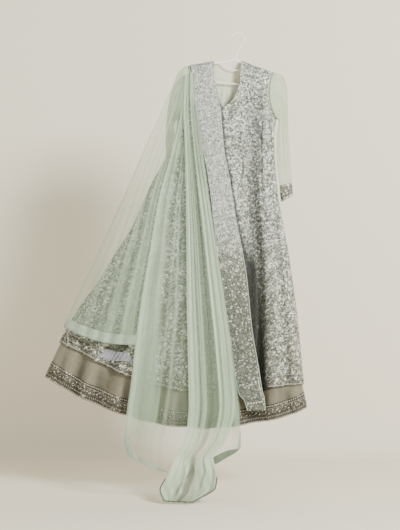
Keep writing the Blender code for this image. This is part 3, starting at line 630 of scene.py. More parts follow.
def shoulder(x):
    # Height of the shoulder ridge: the cloth rests on the hanger's rail
    apexX, apexZ = hanger["apex"]
    slopes = []
    for way in (1, -1):
        tipX, tipZ = hangerPoint(way * hanger["armReach"], -hanger["armDrop"])
        slopes.append((tipZ - apexZ) / (tipX - apexX))
    x = np.asarray(x, float)
    slope = np.where(x > apexX, slopes[0], slopes[1])
    return apexZ + slope * (x - apexX) + hanger["railRadius"] + cut["wall"] + cut["ridgeSpace"]


def ridge(drop):
    share = np.clip(np.asarray(drop, float) / cut["ridge"], 0, 1)
    return np.sqrt(1 - (1 - share) ** 2)


def armhole(side, s):
    # Across and height of the armhole's edge, s = 0 at the shoulder tip and 1 at the armpit
    tipX = cut["leftTip"] if side < 0 else cut["rightTip"]
    armpit = cut["leftArmpit"] if side < 0 else cut["rightArmpit"]
    x = blend(tipX, armpit[0], s) - side * cut["scoop"] * 4 * s * (1 - s)
    return x, blend(float(shoulder(tipX)), armpit[1], s)


def fullness(height):
    # 0 below the armpits, where front and back meet at the side seam
    top = float(shoulder(cut["rightTip"]))
    s = np.clip((top - height) / (top - cut["rightArmpit"][1]), 0, 1)
    return cut["fullness"] * np.sqrt(1 - s * s)


def foldSum(source, place, height, foot=cut["foldFoot"], ease=1.0):
    total = np.zeros(np.broadcast(place, height).shape)
    for at, width, share, start in eachRow(source, "place width share start"):
        grown = below(height, start, start - foot)
        total = total + share * grown * (2 - grown) * np.exp(-((place - at) / (width * ease)) ** 2)
    return np.minimum(total, 0.7)


def standOut(place, height, x, face, source=None, small=None, inset=0.0, ease=1.0):
    # How far the cloth stands out. face is -1 in front, 1 behind
    depth = readAt(depths, "front" if face < 0 else "back", height) * ridge(shoulder(x) - height)
    edge = fullness(height)
    across = np.sqrt(np.clip(1 - (2 * place - 1) ** 2, 0, 1))
    out = (depth - inset) * (edge + (1 - edge) * across)
    if source is not None:
        out = out - depth * foldSum(source, place, height, ease=ease) * across
    if small is not None:
        out = out + creases(small, place, height) * np.minimum(1, across * 2)
    return face * out


def rowLevels(i, place):
    # Height of lower row i: even steps from the armpits to the border, and then the hem
    share = np.clip(1 - np.abs(place - cut["centre"]) / cut["centre"], 0, 1)
    level = blend(cut["leftArmpit"][1], cut["neckPoint"], share)
    hem = readAt(gownHem, "height", place, "place")
    last = cut["lowerRows"]
    if i <= last:
        return blend(level, hem + cut["border"], i / last)
    return blend(hem + cut["border"], hem, i - last)


def lowerEnds(i):
    leftZ, rightZ = (float(rowLevels(i, np.array([end]))[0]) for end in (0.0, 1.0))
    return float(readAt(sides, "left", leftZ)), float(readAt(sides, "right", rightZ))


def neckLevel(side, s):
    return blend(float(shoulder(cut["leftNeck"] if side < 0 else cut["rightNeck"])), cut["neckPoint"], s)


def upperRow(s, place, face):
    # Across and height of an upper row, between the armholes and the neck
    left, right = armhole(-1, s)[0], armhole(1, s)[0]
    if face > 0:
        topX = blend(cut["leftTip"], cut["rightTip"], place)
        opening = np.clip((topX - cut["leftNeck"]) / (cut["rightNeck"] - cut["leftNeck"]), 0, 1)
        straight = blend(float(shoulder(cut["leftNeck"])), float(shoulder(cut["rightNeck"])), opening)
        top = np.where((opening > 0) & (opening < 1), straight, shoulder(topX))
        top = top - cut["backDip"] * np.sin(math.pi * opening) ** 2
        x = blend(left, right, place)
    elif place[-1] <= centrePlace + 1e-9:
        share = place / centrePlace
        topX = blend(cut["leftTip"], cut["leftNeck"], share)
        top = shoulder(topX)
        x = blend(left, float(readAt(neck, "left", neckLevel(-1, s))), share)
    else:
        share = (place - centrePlace) / (1 - centrePlace)
        topX = blend(cut["rightNeck"], cut["rightTip"], share)
        top = shoulder(topX)
        x = blend(float(readAt(neck, "right", neckLevel(1, s))), right, share)
    x = blend(topX, x, min(1.0, s / 0.012))
    return x, blend(top, rowLevels(0, place), s)


def evenPlaces(low, high, count):
    s = np.linspace(low, high, count)
    return 0.7 * s + 0.15 * (1 - np.cos(math.pi * s))


fine = {"left": 92, "right": 104, "back": 150, "upper": 46, "lower": 120, "hem": 9}
leftPlaces = evenPlaces(0, cut["centre"], fine["left"])
rightPlaces = evenPlaces(cut["centre"], 1, fine["right"])
backPlaces = evenPlaces(0, 1, fine["back"])
centrePlace = leftPlaces[-1]


# Painted shade: how dark the folds are, and the band's painted shadow beside them: strength, middle and
# half-width in mm, and the hollow's heights
foldLook = {
    "drift": 0.014, "grows": 0.32, "valley": 0.16, "most": 0.97, "deep": 0.9,
    "bandRight": (0.80, 6, 8), "bandLeft": (0.85, 8, 9), "hollow": 0.92,
    "hollowHeights": (-780, 260, -1500, 90), "hollowWidth": 19, "narrows": 9, "narrowHeights": (-1150, 250)}


def foldShade(source, small, place, height, x=None, ease=1.0):
    # Painted shade: 0 on the open cloth, up to 0.97 in the bottom of the deepest of the folds, which leans to
    # the right towards the hem. On the front the band casts a painted shadow beside it
    look = foldLook
    total = np.zeros(np.broadcast(place, height).shape)
    for at, width, start, dark in eachRow(source, "place width start dark"):
        grown = below(height, start, start - cut["foldFoot"])
        broad = 0.8 + 0.5 * grown + (dark > look["deep"]) * (0.95 - 0.6 * grown)
        away = (place - at - look["drift"] * grown) / (width * ease * broad)
        total = total + dark * grown ** look["grows"] * np.exp(-away ** 2)
    total = total + look["valley"] * np.maximum(-creases(small, place, height), 0)
    if x is not None:
        right = x - readAt(band, "right", height)
        left = readAt(band, "left", height) - x
        for gap, (dark, middle, half) in ((right, look["bandRight"]), (left, look["bandLeft"])):
            total = total + dark * np.exp(-((gap - middle) / half) ** 2)
        hollow = between(height, *look["hollowHeights"])
        wide = look["hollowWidth"] - look["narrows"] * below(height, *look["narrowHeights"])
        total = total + look["hollow"] * hollow * np.exp(-((right - wide) / wide) ** 4)
    return np.minimum(look["most"], total)


def onGown(place, z, x, face, source=None, small=None):
    return np.stack([x, standOut(place, z, x, face, source, small), z], axis=1)


def gownGrid(place, face, source, small, thin=1):
    last = cut["lowerRows"]
    lower = np.concatenate([np.linspace(0, last, fine["lower"] // thin),
                            last + np.linspace(0, 1, fine["hem"])[1:]])
    rows = [upperRow(t ** 1.9, place, face) for t in np.linspace(0, 1, fine["upper"] // thin)[:-1]]
    rows += [(blend(*lowerEnds(i), place), rowLevels(i, place)) for i in lower]
    grid = [onGown(place, z, x, face, source, small) for x, z in rows]
    shade = [foldShade(source, small, place, z, x if face < 0 else None) for x, z in rows]
    return np.array(grid), np.array(shade)


def drawIn(grid, gap=0.4):
    # The side edges stand half a seam in, so that neighbouring pieces just part
    out = grid.copy()
    for edge, inner in ((0, 1), (-1, -2)):
        way = grid[:, inner] - grid[:, edge]
        out[:, edge] += way * (gap / 2) / np.maximum(np.linalg.norm(way, axis=1, keepdims=True), 1e-6)
    return out


def scatter(grid, count, low=0, high=None, shade=None):
    # Places spread evenly over the cloth's area, between two rows, and few of them in the folds
    high = grid.shape[0] - 1 if high is None else high
    a = np.linalg.norm(np.diff(grid, axis=1), axis=2)[:-1]
    b = np.linalg.norm(np.diff(grid, axis=0), axis=2)[:, :-1]
    area = a * b * (1 if shade is None else np.clip(1 - 2.2 * shade[:-1, :-1], 0, 1))
    area[:low] = 0
    area[high:] = 0
    pick = chance.choice(area.size, count, p=(area / area.sum()).reshape(-1))
    r, c = np.unravel_index(pick, area.shape)
    return r + chance.uniform(0, 1, count), c + chance.uniform(0, 1, count)


def outOfFolds(shade, r, c, most):
    # True for the places that lie outside the dark of the folds
    return np.ones(len(r), bool) if shade is None else onGrid(shade[..., None], r, c)[:, 0] < most


def sewFlowers(name, grid, n, count, gap, low=0, high=None, shade=None):
    # Flowers of six long beads round a sequin, each kept clear of the others, with sprays of small beads
    r, c = scatter(grid, count * 6, low, high, shade)
    centres = onGrid(grid, r, c)
    kept = []
    for i in range(len(r)):
        if len(kept) >= count:
            break
        if not kept or np.min(np.linalg.norm(centres[kept] - centres[i], axis=1)) > gap:
            kept.append(i)
    r, c, centres = r[kept], c[kept], centres[kept]
    ups = onGrid(n, r, c)
    ups = ups / np.linalg.norm(ups, axis=1, keepdims=True)
    stepC = onGrid(np.gradient(grid, axis=1), r, c)
    stepR = onGrid(np.gradient(grid, axis=0), r, c)
    span = np.linalg.norm(stepC, axis=1), np.linalg.norm(stepR, axis=1)
    turn = chance.uniform(0, 1.0, len(r))
    # Six petals, and a spray that curls away: angle, reach in mm, half-length and half-width, lean
    beads = [(turn + k * math.pi / 3, 5.6, (3.9, 1.7), 0.0) for k in range(6)]
    beads += [(turn * 6 + k * 0.33, 11.0 + 2.3 * k, (2.4 - 0.15 * k, 1.3), 1.2) for k in range(7)]
    spots, spotNormals, sizes, angles, lit = [], [], [], [], []
    for a, reach, size, lean in beads:
        rr, cc = r + np.sin(a) * reach / span[1], c + np.cos(a) * reach / span[0]
        spots.append(onGrid(grid, rr, cc))
        spotNormals.append(onGrid(n, rr, cc))
        lit.append(outOfFolds(shade, rr, cc, 0.45))
        sizes.append(np.broadcast_to(size, (len(r), 2)))
        angles.append(a + lean)
    kept = np.concatenate(lit)
    petals = sewBeads(name + "Petals", np.concatenate(spots)[kept], np.concatenate(spotNormals)[kept],
                      np.concatenate(sizes)[kept], "sequin", angles=np.concatenate(angles)[kept], tilt=0.1)
    hearts = sewBeads(name + "Hearts", centres, ups, (3.1, 3.1), "sequin", sides=6, height=0.35, tilt=0.08)
    return [petals, hearts]


def sewRow(name, grid, n, row, gap, size, material, sides=4, wave=0.0, length=40.0, height=0.6, shade=None):
    # A row of beads at one row of the grid, or waving about it, that leaves out the bottom of deep folds
    line = onGrid(grid, np.full(grid.shape[1], float(row)), np.arange(grid.shape[1], dtype=float))
    travelled = np.concatenate([[0], np.cumsum(np.linalg.norm(np.diff(line, axis=0), axis=1))])
    stops = np.arange(gap, travelled[-1] - gap / 2, gap)
    c = np.interp(stops, travelled, np.arange(grid.shape[1]))
    down = np.linalg.norm(grid[min(int(row) + 1, len(grid) - 1)] - grid[int(row)], axis=1).mean()
    if down < 1e-6:
        down = np.linalg.norm(grid[int(row)] - grid[int(row) - 1], axis=1).mean()
    r = np.full(len(c), float(row)) + wave / down * np.sin(stops * 2 * math.pi / length)
    lit = outOfFolds(shade, r, c, 0.65)
    r, c = r[lit], c[lit]
    return sewBeads(name, onGrid(grid, r, c), onGrid(n, r, c), size, material, sides=sides, height=height,
                    tilt=0.1)


def sewRows(name, grid, n, source, shade=None):
    # source: label, row, gap, half-length and half-width in mm, material, and what differs
    return [sewRow(name + label, grid, n, *row, shade=shade, **more) for label, *row, more in source]


def sewLoose(name, grid, n, material, count, length, width, shade):
    # Loose beads strewn over the cloth, few of them in the folds
    r, c = scatter(grid, count, 0, None, shade)
    size = np.stack([chance.uniform(*length, len(r)), chance.uniform(*width, len(r))], axis=1)
    return sewBeads(name + material.capitalize(), onGrid(grid, r, c), onGrid(n, r, c), size, material,
                    tilt=0.4)


def finishPiece(piece, node):
    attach(piece, "root")
    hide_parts(node)


# Each panel: name, node, places, side, folds, creases, flat size and its area, loose beads and flowers
gownPieces = (
    ("FrontLeft", "front_left", leftPlaces, -1, frontFolds, frontCreases, (0.62, 1.26), 0.46, 3200, 190),
    ("FrontRight", "front_right", rightPlaces, -1, frontFolds, frontCreases, (0.62, 1.32), 0.50, 4200, 230),
    ("Back", "back", backPlaces, 1, backFolds, backCreases, (1.15, 1.36), 0.92, 3600, 260))
gownRows = (
    ("HemBeads", 6.9, 5.4, (2.2, 2.2), "pearl", {}),
    ("TrimTop", 0.5, 6.4, (2.0, 2.0), "pearl", {}),
    ("TrimVine", 3.4, 4.2, (2.1, 1.4), "sequin", {"wave": 6.0, "length": 44.0}),
    ("Medallions", 3.4, 44.0, (6.4, 6.4), "pearl", {"sides": 8, "height": 0.3}))


def buildGown():
    for label, node, place, face, source, small, flat, area, beads, blooms in gownPieces:
        name = "gown" + label
        grid, shade = gownGrid(place, face, source, small, 1 if face < 0 else 2)
        hem = len(grid) - fine["hem"]
        if face > 0:
            grid, shade = grid[:, ::-1], shade[:, ::-1]
        n = gridNormals(grid)
        cloth = makeCloth(name, drawIn(grid), ["gown", "lining"], cut["wall"], clothCoordinates(grid),
                          paintedShade=shade)
        finishPiece(cloth, "gown_" + node)
        low, up = grid[hem:], n[hem:]
        shell = low + up * cut["trimLift"]
        trim = makeCloth(name + "Trim", drawIn(shell, cut["trimSeam"]), ["trim"], cut["trimWall"],
                         clothCoordinates(low), paintedShade=shade[hem:])
        finishPiece(trim, "gown_border_" + node)
        loose = [sewLoose(name, grid, n, material, int(beads * share), (1.6, 2.8), (1.3, 2.0), shade)
                 for material, share in (("sequin", 0.6), ("smoke", 0.7))]
        flowers = sewFlowers(name, grid, n, blooms, 34.0, 6, hem, shade)
        rows = sewRows(name, shell, up, gownRows, shade[hem:])


buildGown()
print("gown made")


# Under-layer: taupe satin, sewn in below the waist, with folds that fan out below the gown's hem

underCreases = table(
    "top foot width depth start end",
    (0.035, 0.050, 0.012, -4.0, -1240, -1440),
    (0.075, 0.060, 0.010, 3.5, -1270, -1460),
    (0.105, 0.120, 0.012, -4.5, -1290, -1480),
    (0.150, 0.135, 0.009, 3.0, -1320, -1490),
    (0.180, 0.200, 0.013, -4.0, -1330, -1510),
    (0.230, 0.225, 0.010, 3.0, -1350, -1530),
    (0.290, 0.310, 0.014, -3.6, -1370, -1545),
    (0.380, 0.370, 0.012, 3.0, -1400, -1560),
    (0.500, 0.515, 0.014, -3.4, -1430, -1575),
    (0.610, 0.600, 0.011, 2.6, -1440, -1575),
    (0.720, 0.725, 0.012, -3.2, -1445, -1570),
    (0.860, 0.850, 0.010, 3.0, -1430, -1560),
    (0.930, 0.945, 0.010, -3.4, -1420, -1540))
underLook = {"front": 190, "back": 120, "hidden": 26, "shown": 26, "hem": 9, "shade": 0.8}
underRows = (
    ("HemPearls", 7.6, 8.2, (2.6, 2.6), "pearl", {}),
    ("LowPearls", 6.0, 9.5, (2.6, 2.6), "taupePearl", {}),
    ("TopPearls", 0.8, 9.0, (2.6, 2.6), "pearl", {}),
    ("TopDots", 2.0, 6.4, (2.2, 1.8), "taupePearl", {}),
    ("LowJets", 5.0, 6.0, (2.3, 1.8), "jet", {}),
    ("Vine", 3.4, 6.0, (2.4, 1.6), "taupePearl", {"wave": 7.0, "length": 46.0}),
    ("Leaves", 3.4, 15.0, (3.8, 2.0), "pearl", {"wave": -7.0, "length": 46.0}))
# The turned-over bit of hem: its grid, where it lies on the gown's grid, and in mm how it stands off
turnedHem = {"rows": 14, "columns": 60, "fromHem": 3.2, "low": 1.2, "tall": 4.6, "climb": 7.0,
             "column": 36, "across": 25, "lift": 2.6, "crinkle": 3.0, "wall": 0.6, "streaks": 0.6}


def underGrid(place, face, source):
    hem = readAt(underHem, "height", place, "place")
    last = cut["lowerRows"]
    foot = last + 1
    grid, shade = [], []
    levels = np.concatenate([np.linspace(cut["underStart"], foot, underLook["hidden"])[:-1],
                             foot + np.linspace(0, 1, underLook["shown"])[:-1],
                             foot + 1 + np.linspace(0, 1, underLook["hem"])])
    for i in levels:
        if i <= foot:
            z = rowLevels(i, place)
            left, right = lowerEnds(i)
        else:
            inTrim = i > foot + 1
            upper = hem + cut["underBorder"] if inTrim else rowLevels(foot, place)
            lower = hem if inTrim else hem + cut["underBorder"]
            z = blend(upper, lower, i - foot - inTrim)
            left, right = float(readAt(sides, "left", z[0])), float(readAt(sides, "right", z[-1]))
        clear = min(i - cut["underStart"], 2)
        tuck = cut["underSeat"] + clear * cut["underTuck"]
        x = blend(left + tuck, right - tuck, place)
        ease = blend(1.0, cut["underEase"], min(1, clear))
        inset = cut["underSeat"] + clear * cut["underInset"]
        y = standOut(place, z, x, face, source, underCreases, inset, ease)
        grid.append(np.stack([x, y, z], axis=1))
        # Painted fold shade, weaker on the under-layer
        shade.append(foldShade(source, underCreases, place, z, ease=float(ease)) * underLook["shade"])
    return np.array(grid), np.array(shade)


def buildUnderLayer():
    for label, face, source, flat, rests in (("Front", -1, frontFolds, (1.16, 1.0), "gownFrontLeft"),
                                             ("Back", 1, backFolds, (1.14, 1.0), "gownBack")):
        name, node = "under" + label, label.lower()
        grid, shade = underGrid(evenPlaces(0, 1, underLook[node]), face, source)
        if face > 0:
            grid, shade = grid[:, ::-1], shade[:, ::-1]
        n = gridNormals(grid)
        cloth = makeCloth(name, drawIn(grid), ["taupe"], cut["wall"], clothCoordinates(grid), paintedShade=shade)
        finishPiece(cloth, "under_" + node)
        hem = len(grid) - underLook["hem"]
        low, up = grid[hem:] + n[hem:] * cut["trimLift"], n[hem:]
        trim = makeCloth(name + "Trim", drawIn(low, cut["trimSeam"]), ["taupeTrim"], cut["trimWall"],
                         clothCoordinates(low), paintedShade=shade[hem:])
        finishPiece(trim, "under_border_" + node)
        rows = sewRows(name, low, up, underRows)


def turnHemOver():
    # A crinkled, silvery end of the hem lies turned over on the gown, left of the fall
    look = turnedHem
    grid = gownGrid(leftPlaces, -1, frontFolds, frontCreases)[0]
    n = gridNormals(grid)
    along = np.linspace(0, 1, look["columns"])[None]
    down = np.linspace(0, 1, look["rows"])[:, None]
    tall = look["low"] + look["tall"] * np.sin(math.pi * along ** 0.6) ** 0.8
    r = len(grid) - look["fromHem"] - down * tall - look["climb"] * along - 0.5 * np.sin(along * 11)
    c = look["column"] + look["across"] * along + 0.8 * np.sin(r * 1.3)
    lie = onGrid(grid, r.reshape(-1), c.reshape(-1)).reshape(*r.shape, 3)
    up = onGrid(n, r.reshape(-1), c.reshape(-1)).reshape(*r.shape, 3)
    crinkle = look["crinkle"] + 1.8 * np.sin(c * 2.6 + r * 0.9) + 1.2 * np.sin(c * 5.3 - r * 1.7)
    crinkle = crinkle * np.sin(np.linspace(0, math.pi, look["columns"]))[None] ** 0.4
    patch = (lie + up * (look["lift"] + crinkle)[:, :, None])[::-1]
    # Painted shade in streaks across the crinkles
    streaks = look["streaks"] * np.sin(c * 2.1 + r * 1.3) ** 2
    piece = makeCloth("hemTurnedOver", patch, ["silver"], look["wall"], paintedShade=streaks[::-1])
    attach(piece, "root")


buildUnderLayer()
turnHemOver()
print("under-layer made")


# Sleeves and cuffs. Each row is a ring: outer and inner edge, how far forward, half its depth

rightSleeve = table(
    "outX outZ inX inZ forward half",
    (152, -159, 160, -350, 0, 22), (174, -167, 162, -357, 0, 22), (189, -190, 161, -366, 0, 22),
    (198, -240, 159, -378, 0, 21), (200, -310, 156, -398, 0, 19), (202, -380, 154, -430, 0, 17),
    (206, -450, 154, -480, 0, 16), (212, -530, 158, -545, 0, 15), (216, -600, 166, -610, 0, 14))
leftSleeve = table(
    "outX outZ inX inZ forward half",
    (-212, -135, -248, -350, 0, 22), (-232, -150, -252, -357, 3, 20), (-252, -188, -256, -366, 10, 18),
    (-268, -240, -257, -380, 20, 16), (-281, -310, -252, -402, 32, 14), (-287, -380, -234, -432, 41, 13),
    (-288, -440, -214, -462, 43, 12), (-286, -490, -216, -494, 45, 12))
rightCuff = table(
    "outX outZ inX inZ forward half",
    (216, -600.5, 166, -610.5, 0, 14), (218, -624, 168, -642, 0, 15), (219, -652, 173, -676, 0, 16))
leftCuff = table(
    "outX outZ inX inZ forward half",
    (-286, -490.5, -216, -494.5, 45, 12), (-288, -520, -218, -526, 46, 12), (-288, -552, -222, -560, 47, 12))

# Creases round the sleeve: where in the turn (0 outer edge, 0.25 front, 0.5 inner edge), rows down
sleeveCreases = table(
    "turn drift width depth start end",
    (0.06, 0.03, 0.018, 1.6, 0.05, 0.95), (0.13, -0.02, 0.014, -1.5, 0.10, 0.80),
    (0.20, 0.02, 0.016, 1.8, 0.02, 1.00), (0.27, -0.03, 0.013, -1.6, 0.20, 0.98),
    (0.33, 0.01, 0.017, 1.7, 0.12, 0.90), (0.40, 0.03, 0.014, -1.3, 0.00, 0.70),
    (0.46, 0.00, 0.012, 1.2, 0.30, 1.00), (0.58, 0.02, 0.018, 1.5, 0.08, 0.95),
    (0.67, -0.02, 0.015, -1.5, 0.15, 0.85), (0.76, 0.02, 0.017, 1.7, 0.05, 1.00),
    (0.85, 0.01, 0.014, -1.4, 0.25, 0.95), (0.93, -0.02, 0.015, 1.4, 0.10, 0.80))
sleeveLook = {"turns": 96, "rows": 110, "cuffRows": 20, "seam": 0.95, "sheerWall": 0.5,
              "flat": (0.40, 0.46), "area": 0.075, "cuffFlat": (0.13, 0.065), "bunched": 2.4,
              "seamCord": 1.5, "density": 0.8, "creased": 0.75, "seamAt": 0.47, "seamWidth": 0.012,
              "seamDensity": 2.2, "joinRows": 6, "allowance": 8, "mouthShade": 0.95, "mouthWidth": 0.07}


def ringAt(source, t, turn):
    share = (1 - np.cos(turn)) / 2
    x = blend(rowOf(source, "outX", t), rowOf(source, "inX", t), share)
    z = blend(rowOf(source, "outZ", t), rowOf(source, "inZ", t), share)
    y = -rowOf(source, "forward", t) - rowOf(source, "half", t) * np.sin(turn)
    return np.stack([x, y, z], axis=1)


def armholeRing(side, turn):
    s = (1 - np.cos(turn)) / 2
    x, z = armhole(side, s)
    place = np.full(len(turn), 0.0 if side < 0 else 1.0)
    y = np.where(turn <= math.pi, standOut(place, z, x, -1), standOut(place, z, x, 1))
    return np.stack([x + side * sleeveLook["seam"], y, z], axis=1)


def buildSleeve(name, side, source, cuffSource):
    look = sleeveLook
    turn = np.arange(look["turns"]) * 2 * math.pi / look["turns"]
    first = ringAt(source, 0.0, turn)
    rows = [blend(armholeRing(side, turn), first, t) for t in np.linspace(0, 1, look["joinRows"] + 1)[:-1]]
    rows += [ringAt(source, t, turn) for t in np.linspace(0, 1, look["rows"])]
    grid = np.array(rows)
    if side > 0:
        grid = grid[:, ::-1]
        turn = turn[::-1]
    n = gridNormals(grid, closed=True)
    down = np.linspace(0, 1, len(grid))[:, None]
    around = turn / (2 * math.pi)
    ridges = np.zeros(grid.shape[:2])
    for at, drift, width, depth, start, end in eachRow(sleeveCreases, "turn drift width depth start end"):
        away = (around[None] - at - drift * down + 0.5) % 1.0 - 0.5
        inside = (down > start) & (down < end)
        grown = np.where(inside, np.sin(math.pi * (down - start) / (end - start)), 0) ** 0.7
        ridges += depth * grown * np.exp(-(away / width) ** 2)
    grid = grid + n * (ridges - look["sheerWall"])[:, :, None]
    # Denser in the creases, at the seam under the arm and at the armhole's seam allowance
    density = look["density"] + look["creased"] * np.abs(ridges)
    density += look["seamDensity"] * np.exp(-((around - look["seamAt"]) / look["seamWidth"]) ** 2)[None]
    density[:look["allowance"]] = look["seamDensity"]
    density *= 1.0 if side > 0 else look["bunched"]
    cloth = makeCloth("sleeve" + name, grid, ["sleeve"], 0.0, closed=True, layers=density)
    finishPiece(cloth, "sleeve_" + name.lower())
    seamLine = np.concatenate([grid[1], grid[1, :1]])
    cord = makeTube("armholeSeam" + name, seamLine, look["seamCord"], "seam", sides=6)

    cuff = np.array([ringAt(cuffSource, t, turn) for t in np.linspace(0, 1, look["cuffRows"])])
    up = gridNormals(cuff, closed=True)
    # Painted shade: the cuff darkens on its inner side, more towards its foot, where the opening is in shadow
    mouthShade = look["mouthShade"] * np.exp(-((around - look["seamAt"]) / look["mouthWidth"]) ** 2)[None]
    mouthShade = mouthShade * np.linspace(0.6, 1, len(cuff))[:, None]
    wall = makeCloth("cuff" + name, cuff, ["trim", "lining"], cut["wall"], closed=True, paintedShade=mouthShade)
    finishPiece(wall, "cuff_" + name.lower())
    last = len(cuff) - 1
    closed = np.concatenate([cuff, cuff[:, :1]], axis=1)
    closedUp = np.concatenate([up, up[:, :1]], axis=1)
    cuffRows = (("Edge", last - 1.2, 4.6, (2.1, 2.1), "pearl", {}),
                ("Top", 1.5, 5.2, (2.0, 2.0), "sequin", {}),
                ("Vine", last / 2, 4.2, (2.6, 1.4), "sequin", {"wave": 9.0, "length": 40.0}))
    rows = sewRows("cuff" + name, closed, closedUp, cuffRows)


buildSleeve("Right", 1, rightSleeve, rightCuff)
buildSleeve("Left", -1, leftSleeve, leftCuff)
print("sleeves made")


# Shoulder band: dense embroidery on a stiff strip, piped on both edges, from behind the shoulder to the hem

# The rows of its grid, how far down its cloth turns dim and its beads thin out, and its trims in mm
bandShape = {"columns": 26, "back": 14, "upper": 40, "lower": 170, "foot": 10, "backFrom": 0.31,
             "level": 0.64, "lastStep": 24.0, "dim": 0.34, "dimFrom": -860, "dimSpan": 260,
             "beadsThin": -700, "flowersThin": -780, "thinSpan": 400, "piping": 1.8, "pipingIn": 0.8}
bandBeads = (("sequin", 2000, 0.85), ("smoke", 1500, 0.0))


def buildBand():
    count = bandShape["columns"]
    share = np.linspace(0, 1, count)
    rows, lifts = [], []
    for s in np.linspace(bandShape["backFrom"], 0.004, bandShape["back"]):
        left, right = armhole(-1, s)[0], armhole(1, s)[0]
        x = blend(max(band["left"][0], left + cut["bandMargin"]), band["right"][0], share)
        place = (x - left) / (right - left)
        z = blend(shoulder(x), rowLevels(0, place), s)
        rows.append(onGown(place, z, x, 1))
        lifts.append(cut["bandRidgeLift"])
    for t in np.linspace(0, 1, bandShape["upper"])[:-1]:
        s = t ** 1.7
        level = neckLevel(-1, s)
        left, right = armhole(-1, s)[0], float(readAt(neck, "left", level))
        x = blend(max(readAt(band, "left", level), left + cut["bandMargin"]), readAt(band, "right", level),
                  share)
        along = np.clip((x - left) / (right - left), 0, 1)
        place = along * centrePlace
        z = blend(shoulder(blend(cut["leftTip"], cut["leftNeck"], along)), rowLevels(0, place), s)
        rows.append(onGown(place, z, x, -1))
        lifts.append(blend(cut["bandRidgeLift"], cut["bandLift"], min(1, 4 * s * s)))
    for i in np.linspace(0, cut["lowerRows"] + 1, bandShape["lower"]):
        height = float(rowLevels(i, np.array([bandShape["level"]]))[0])
        x = blend(readAt(band, "left", height), readAt(band, "right", height), share)
        left, right = lowerEnds(i)
        place = (x - left) / (right - left)
        z = rowLevels(i, place)
        rows.append(onGown(place, z, x, -1))
        lifts.append(cut["bandLift"])
    last = rows[-1]
    left, right = lowerEnds(cut["lowerRows"] + 1)
    for t in np.linspace(0, 1, bandShape["foot"])[1:]:
        height = blend(band["height"][-2] - bandShape["lastStep"], band["height"][-1], t)
        x = blend(readAt(band, "left", height), readAt(band, "right", height), share)
        z = blend(last[:, 2], np.full(count, band["height"][-1]), t)
        x = blend(last[:, 0], x, min(1, t * 3))
        place = (x - left) / (right - left)
        rows.append(onGown(place, z, x, -1))
        lifts.append(cut["bandLift"])
    grid = np.array(rows)
    n = gridNormals(grid)
    top = grid + n * (np.array(lifts)[:, None, None] + cut["bandWall"])
    height = top[:, :, 2]
    # Through the painted-shade mix the cloth turns darker towards the bottom
    dim = bandShape["dim"] * below(height, bandShape["dimFrom"], bandShape["dimSpan"])
    strip = makeCloth("shoulderBand", top, ["band", "lining"], cut["bandWall"] * 0.8, clothCoordinates(top),
                      paintedShade=dim)
    finishPiece(strip, "shoulder_band")
    up = gridNormals(top)
    pieces = []
    for label, number, fewer in bandBeads:
        thinned = fewer * np.minimum(0.7, below(height, bandShape["beadsThin"], bandShape["thinSpan"]))
        pieces.append(sewLoose("band", top, up, label, number, (1.4, 2.4), (1.1, 1.6), thinned))
    thinned = np.minimum(0.6, below(height, bandShape["flowersThin"], bandShape["thinSpan"]))
    pieces += sewFlowers("band", top, up, 110, 22.0, 12, None, thinned)
    for label, column in (("Left", 0), ("Right", -1)):
        line = top[:, column] - up[:, column] * bandShape["pipingIn"]
        edge = makeTube("bandPiping" + label, line, bandShape["piping"], "piping")
        pieces.append(edge)
    # A line of dots inside the right edge and another across the foot
    stops = np.arange(bandShape["back"] + 4, len(top) - 3, 3.2)
    inner = np.full(len(stops), count - 3.2)
    pieces.append(sewBeads("bandDots", onGrid(top, stops, inner), onGrid(up, stops, inner), (2.9, 2.9),
                           "pearl", sides=6, height=0.4, tilt=0.1))
    pieces.append(sewRow("bandFootDots", top, up, len(top) - 5, 11.0, (3.4, 3.4), "pearl", sides=6,
                         height=0.4))


buildBand()
print("band made")


# Drape: sheer net. The wing spreads to the left, the fall hangs below it, and the folded stretch ends in
# the tail

fall = table(
    "leftX leftZ rightX rightZ forward",
    (-207, -170, -172, -162, 2.2), (-214, -250, -170, -244, 12), (-232, -348, -160, -336, 20),
    (-272, -508, -136, -508, 27), (-316, -668, -112, -680, 24), (-350, -868, -84, -868, 20),
    (-384, -1068, -52, -1068, 20), (-406, -1240, -24, -1268, 22), (-422, -1388, -4, -1430, 24),
    (-439, -1514, 6, -1550, 24), (-447, -1610, 7, -1630, 22), (-432, -1672, -10, -1656, 18))
wing = table(
    "leftX leftZ",
    (-228, -176), (-274, -248), (-312, -334), (-352, -420), (-400, -530), (-448, -640), (-498, -748),
    (-569, -904), (-640, -1056), (-690, -1172))
folded = table(
    "leftX leftZ rightX rightZ forward",
    (-212, -168, -174, -160, 4.0), (-218, -308, -168, -308, 24), (-212, -468, -150, -468, 40),
    (-206, -788, -98, -788, 34), (-204, -1068, -56, -1068, 34), (-200, -1268, -30, -1268, 36),
    (-196, -1468, -14, -1468, 38), (-214, -1610, -46, -1600, 38), (-252, -1684, -100, -1672, 44),
    (-270, -1730, -86, -1728, 52), (-306, -1796, -92, -1786, 62), (-290, -1838, -180, -1842, 70))
wingFolds = table(
    "place width share start",
    (0.12, 0.050, 0.055, -300), (0.30, 0.045, 0.075, -260), (0.47, 0.045, 0.065, -340),
    (0.64, 0.050, 0.085, -300), (0.83, 0.045, 0.065, -400))
fallFolds = table(
    "place width share start",
    (0.09, 0.040, 0.080, -300), (0.26, 0.045, 0.075, -420), (0.42, 0.035, 0.070, -360),
    (0.58, 0.040, 0.060, -300), (0.88, 0.035, 0.060, -300))
